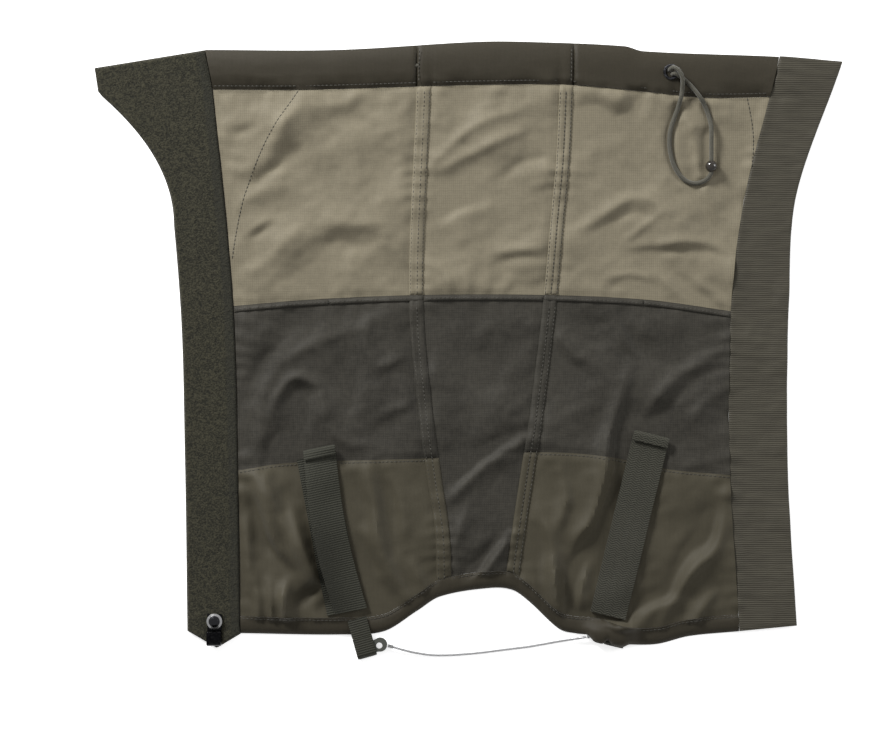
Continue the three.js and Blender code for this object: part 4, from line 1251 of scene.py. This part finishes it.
ribbed = Finish("ribbed_flap_nylon", 0.6, Sheen_Weight=0.05, Specular_IOR_Level=0.35)
ribs_y = ribbed.axis("Y")
ribs_x = ribbed.axis("X")
rib = ((ribs_y + ribbed.noise(5.0) * 0.8) * (turns / 1.5)).sine() * 0.5 + 0.5
cross = ((ribs_x + ribbed.noise(4.0) * 0.8) * (turns / 0.9)).sine() * 0.5 + 0.5
streak = ribbed.noise(2.4, 3.0, (0.12, 1, 1))
grain = streak.step(0.35, 0.65) * 0.6 + rib * cross * 0.4
ribbed.colour(ribbed.blend(grain, (0.044, 0.039, 0.027), (0.062, 0.056, 0.039)))
ribbed.bump(rib * 0.7 + streak * 0.3, 0.3)
hook_thick = 1.5
flap_low = 1.9
flap_thick = 1.2
flap_sides = (moved(flap_inner, 0.12), flap_outer, moved(foot_edge, 0.3), calf_edge)
edge_piece("front_flap_cloth", flap_sides, 30, 270, flap_low, flap_thick, ribbed, "right_edge", "olive_cloth",
           "front_flap", wave=0.8)

hooks = Finish("hook_tape", 0.8)
hook_pitch = 1.6
hook_rows = [(hooks.axis(name) * (turns / hook_pitch)).sine() for name in "XY"]
hook_grid = (hook_rows[0] * hook_rows[1]).step(0.1, 0.9)
hooks.colour(hooks.blend(hook_grid, (0.012, 0.012, 0.010), (0.035, 0.034, 0.028)))
hooks.bump(hook_grid, 0.8)
hook_inset = 4
hook_sides = drawn_in(flap_inner, flap_outer, foot_edge, calf_edge, hook_inset)
edge_piece("hook_tape_strip", hook_sides, 20, 120, on_table, hook_thick, hooks, "right_edge", "hook_pile",
           "hook_tape")

# ---- Straps and webbing ----
# Each side has a 25 mm webbing strap sewn up from the hem, with a free tail on it that is turned over and
# sewn at its end. A narrow loop of the same webbing holds each cable fitting below the hem.


strap_wide = 25
loop_wide = 13.6
web = 1.2
zigzag_wide = 3.1
yarn_pitch = 1.05


def webbing_finish(name, colour, rib_size, slant):
    """Webbing with ribs across it, which zigzag when slant isn't nought."""
    finish = Finish(name, 0.75, Sheen_Weight=0.08, Specular_IOR_Level=0.3)
    sideways, lengthways = finish.along("X"), finish.along("Y")
    zigzag = sideways.math("PINGPONG", sideways, zigzag_wide)
    rib = ((lengthways + zigzag * slant) * (turns / rib_size)).sine() * 0.5 + 0.5
    yarn = (sideways * (turns / yarn_pitch)).sine() * 0.5 + 0.5
    fleck = finish.noise(0.8)
    tone = rib * 0.6 + yarn * 0.15 + fleck.step(0.35, 0.65) * 0.25
    finish.colour(finish.blend(tone, shade(colour, 0.45), shade(colour, 1.5)))
    finish.bump(rib * 0.7 + yarn * 0.3, 0.35)
    return finish


web_span = 1.4  # between the points along a strap


def webbing_piece(name, start, profile, wide, finish, body, node, follow=True, lean=0, aside=0, bow=0):
    """Webbing along a profile of (distance, height) from a start, which is a place and a heading. It
    follows the cloth, or not. It leans up on one edge, stands aside and bows, each in millimetres."""
    place, heading = start
    ends = [(s, 0, z) for s, z in profile]
    if len(ends) > 2:
        route = smooth_route(ends, web_span)
    else:
        route = np.linspace(*ends, max(3, int(abs(ends[1][0] - ends[0][0]) / web_span)))
    s, z = route[:, 0], route[:, 2]
    slope_s, slope_z = np.gradient(s), np.gradient(z)
    size = np.hypot(slope_s, slope_z)
    normal_s, normal_z = -slope_z / size, slope_s / size
    across_line = np.linspace(-1, 1, 15)
    turn = math.radians(heading)
    points, uv = [], []
    run = np.concatenate([[0], np.cumsum(np.hypot(np.diff(s), np.diff(z)))])
    flat_wide = math.sqrt(wide**2 - lean**2)
    for k in range(len(s)):
        arch = math.sin(math.pi * min(1, max(0, s[k] / s.max())))
        for sign, line in ((1, across_line[::-1]), (-1, across_line)):
            half_thick = 0.5 * web * (1 - 0.4 * np.abs(line) ** 8) * sign
            cup = lean * (0.5 - 0.5 * line) ** 1.4 * arch**0.8
            side = line * flat_wide / 2 + aside - bow * arch
            at = s[k] + normal_s[k] * half_thick
            x = place[0] + at * math.cos(turn) + side * math.sin(turn)
            y = place[1] + at * math.sin(turn) - side * math.cos(turn)
            base = height(x, y) - cloth if follow else 0
            up = z[k] + normal_z[k] * half_thick + base + cup
            points += np.stack([x, y, np.broadcast_to(up, x.shape)], axis=1).tolist()
            uv += [(float(t) * wide / 2, float(run[k])) for t in line]
    piece = add_piece(name, points, tube_faces(len(s), 2 * len(across_line)), finish, uv, sharp_angle=55)
    settle(piece, body, "webbing", node)


ribbed_web = webbing_finish("ribbed_webbing", (0.027, 0.027, 0.018), 1.6, 0.0)
twill_web = webbing_finish("twill_webbing", (0.034, 0.033, 0.023), 1.7, 0.55)
anchor_z = cloth + gap + web / 2
tail_z = anchor_z + web + gap
turned_z = tail_z + web + gap
for side, finish, lean, base_aside, aside, bow in (("left", ribbed_web, 11, -3, 1.5, 3.5),
                                                   ("right", twill_web, 0, 0, 0, 0)):
    place, heading, length = strap_lines[side]
    start = (place, heading)
    base = [(gap, anchor_z), (length - 6, anchor_z)]
    webbing_piece(side + "_strap_base", start, base, strap_wide, finish, side + "_wing",
                  side + "_strap_anchor", aside=base_aside)
    tip = length - 1
    free = [(gap, tail_z), (length * 0.5, tail_z + 0.4), (tip - 0.6, tail_z), (tip + 0.4, tail_z + 0.75),
            (tip - 0.6, turned_z), (tip - 6, turned_z)]
    webbing_piece(side + "_strap_free_end", start, free, strap_wide, finish, side + "_tail",
                  side + "_strap_tail", lean=lean, aside=aside, bow=bow)

# Each fitting: its eye's place, its heading, the side that it faces, how far its loop reaches back, and
# the tab that holds the loop, by where it ends and its height.
fittings = {
    "left": ((-70.0, -207.82), 15.7, 1, 8.5, (22, hem_height + gap + web / 2)),
    "right": ((100.4, -200.21), -13.7, -1, 5.6, (12.6, anchor_z)),
}
bar_offset = 2.2
bar_thick = 2.2
loop_low = web / 2
loop_top = web + 2 * gap + bar_thick + web / 2
bend_radius = (loop_top - loop_low) / 2
bend_s = bend_radius - 5.7
for side, (place, heading, facing, reach, (tab_end, tab_z)) in fittings.items():
    turn = math.radians(heading)
    back = facing * bar_offset
    middle = (place[0] - back * math.cos(turn), place[1] - back * math.sin(turn))
    start = (middle, heading + 90)
    bend = []
    for angle in np.linspace(0, math.pi, 9):
        bend_z = loop_low + bend_radius + bend_radius * math.cos(angle)
        bend.append((bend_s - bend_radius * math.sin(angle), bend_z))
    webbing_piece(side + "_fitting_loop", start, [(reach, loop_top), *bend, (reach, loop_low)], loop_wide,
                  ribbed_web, side + "_fitting", side + "_strap_loop", follow=False)
    webbing_piece(side + "_sewn_tab", start, [(reach + gap, tab_z), (tab_end, tab_z)], loop_wide, ribbed_web,
                  side + "_wing", side + "_loop_tab", follow=False)

# ---- Metal and moulded parts ----
# The rivet, washers, eyelet, lace hook, cable fittings and ferrules keep their CAD shapes and get worn
# metal and moulded finishes.


def dress(finish, *nodes):
    """Gives CAD parts a finish."""
    for node in nodes:
        part = bpy.data.objects[node]
        part.data.materials.clear()
        part.data.materials.append(finish.material)


def metal_finish(name, dark, bright, roughness):
    finish = Finish(name, roughness, 0.95)
    wear = finish.noise(1.4, 4.0).step(0.35, 0.7)
    finish.colour(finish.blend(wear, dark, bright))
    finish.rough(wear * 0.15 + (roughness - 0.05))
    finish.bump(finish.noise(0.5), 0.02)
    return finish


nickel = metal_finish("nickel_rivet", (0.42, 0.42, 0.42), (0.75, 0.75, 0.74), 0.2)
rivet_low, rivet_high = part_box("hook_rivet")
off_x, off_y = (nickel.axis(name) - 500 * (rivet_low[i] + rivet_high[i]) for i, name in enumerate("XY"))
off_centre = (off_x * off_x + off_y * off_y).power(0.5)
worn = nickel.blend(nickel.noise(1.4), (0.5, 0.5, 0.5), (0.8, 0.8, 0.8))
nickel.colour(nickel.blend(off_centre.step(3.7, 4.2), (0.05, 0.05, 0.055), worn))
gunmetal = metal_finish("gunmetal_eyelet", (0.03, 0.03, 0.034), (0.11, 0.11, 0.12), 0.25)
black = metal_finish("black_hook", (0.006, 0.006, 0.007), (0.02, 0.02, 0.022), 0.18)
crimped = metal_finish("crimped_ferrule", (0.3, 0.3, 0.3), (0.6, 0.6, 0.6), 0.3)
dress(nickel, "hook_rivet", "rivet_washer")
dress(gunmetal, "eyelet", "eyelet_washer")
dress(black, "lace_hook")
dress(crimped, "left_ferrule", "right_ferrule")
moulding = Finish("moulded_fitting", 0.5)
moulding.colour(moulding.blend(moulding.noise(0.9), (0.045, 0.048, 0.04), (0.075, 0.078, 0.066)))
moulding.bump(moulding.noise(0.45), 0.05)
dress(moulding, "left_cable_fitting", "right_cable_fitting")

# ---- Stitching ----
# Lockstitch in one dark thread: small raised dashes in rows, 2.9 mm apart. The thread's dark colour is partly
# its own and partly painted shade, which darkens the stitched seam lines and strip edges.

stitches = {zone: [] for zone in (*zones, "back")}
stitch_pitch = 2.9


def sew(zone, route, rise):
    """Adds a row of stitches along flat points, raised above the cloth."""
    route = np.asarray(route, float)
    run = run_along(route)
    stops = np.arange(stitch_pitch / 2, run[-1], stitch_pitch)
    x, y = (np.interp(stops, run, route[:, i]) for i in range(2))
    ahead_x, ahead_y = (np.interp(stops + 0.5, run, route[:, i]) for i in range(2))
    for px, py, ax, ay in zip(x, y, ahead_x, ahead_y):
        size = math.hypot(ax - px, ay - py) or 1
        stitches[zone].append((px, py, (ax - px) / size, (ay - py) / size, float(rise(px, py))))


def on_cloth(rise):
    """A row's height: so far above the cloth."""
    return lambda x, y: float(height(x, y)) + rise


def upright_row(line, low, high):
    y = np.linspace(low, high, 80)
    return np.stack([line(y), y], axis=1)


def level_row(line, left, right):
    x = np.linspace(left, right, 80)
    return np.stack([x, line(x)], axis=1)


# Rows up the felled seams: their offsets above the waist, and where they end at the foot.
for side, line, out, offsets, row_end in (("left", left_seam, -1, (0.9, 4.4, 9.0), -160),
                                          ("right", right_seam, 1, (0.9, 4.8, 9.0), -156)):
    zone = side + "_side"
    for offset in offsets:
        sew(zone, upright_row(moved(line, out * offset), waist_y + 3, band_y), on_cloth(0.85))
    for offset in (4.8, 8.8):
        sew(zone, upright_row(moved(line, out * offset), row_end, waist_y - 6), on_cloth(0.9))

band_row = (moved(band_seam, 2.4), lambda x, y: 3.75)
waist_row = (moved(waist_seam, -2.6), on_cloth(1.35))
ankle_row = (moved(ankle_seam, -1.6), on_cloth(0.15))
hem_row = moved(hem_line, -1.6)
for line, rise in (band_row, waist_row, ankle_row, (hem_row, lambda x, y: float(height(x, y)) * 0.9 + 1.0)):
    level = float(line(-120.0))
    sew("left_edge", level_row(line, float(tape_inner(level)) + 1, float(left_middle(level))), rise)
    sew("left_side", level_row(line, float(left_middle(level)), float(left_seam_edge(level))), rise)
    sew("right_side", level_row(line, float(right_seam_edge(level)), float(right_middle(level))), rise)
    sew("right_edge", level_row(line, float(right_middle(level)), float(flap_inner(level)) - 1), rise)
for line, rise in (band_row, waist_row, (hem_row, lambda x, y: float(height(x, y)) * 0.85 + 1.0)):
    level = float(line(back_x))
    sew("back", level_row(line, float(left_seam(level)) + 1, float(right_seam(level)) - 1), rise)

# Rows down the calf band's seams, whose dark thread paints the shade of the seam lines.
for line in (moved(left_seam_edge, 1.5), moved(right_seam_edge, -1.5)):
    sew("back", upright_row(line, band_y + 5, calf_y - 0.5), lambda x, y: band_height)

# Two curved rows on the khaki panels, one at each front edge.
for zone, row in (
    ("left_edge", [(-119, 181.5, 0), (-139.7, 149.5, 0), (-150.8, 124.3, 0), (-157.9, 103.3, 0),
                   (-162.1, 83.7, 0), (-164.9, 65.5, 0)]),
    ("right_edge", [(195, 176.7, 0), (198.5, 156.5, 0), (199.2, 143.9, 0), (198, 128, 0)]),
):
    sew(zone, smooth_route(row, 2)[:, :2], on_cloth(0.12))

# The thread's colour: its own dark colour, with painted shade of the stitched seam lines in it.
thread = Finish("dark_thread_painted_seam_shade", 0.6)
thread.colour(thread.blend(thread.noise(1.5), (0.018, 0.016, 0.011), (0.04, 0.036, 0.025)))
half_length, half_wide, half_tall = 1.25, 0.34, 0.22  # of one stitch
for zone, dashes in stitches.items():
    points, faces = [], []
    for x, y, dx, dy, z in dashes:
        start = len(points)
        for along, swell in ((-1, 0.5), (0, 1), (1, 0.5)):
            for side, up in ((1, 0), (0, 1), (-1, 0), (0, -1)):
                ahead, aside = along * half_length, side * half_wide * swell
                arched = 0.3 if along == 0 else -0.4
                points.append((x + dx * ahead + dy * aside, y + dy * ahead - dx * aside,
                               z + half_tall * (up * swell + arched)))
        for k in range(2):
            for i in range(4):
                a, b = start + 4 * k + i, start + 4 * k + (i + 1) % 4
                faces.append((a, a + 4, b + 4, b))
        faces.append(tuple(start + i for i in range(4)))
        faces.append(tuple(start + 8 + i for i in (3, 2, 1, 0)))
    row = add_piece("stitching_" + zone, points, faces, thread, sharp_angle=80)
    settle(row, zone, "olive_cloth")
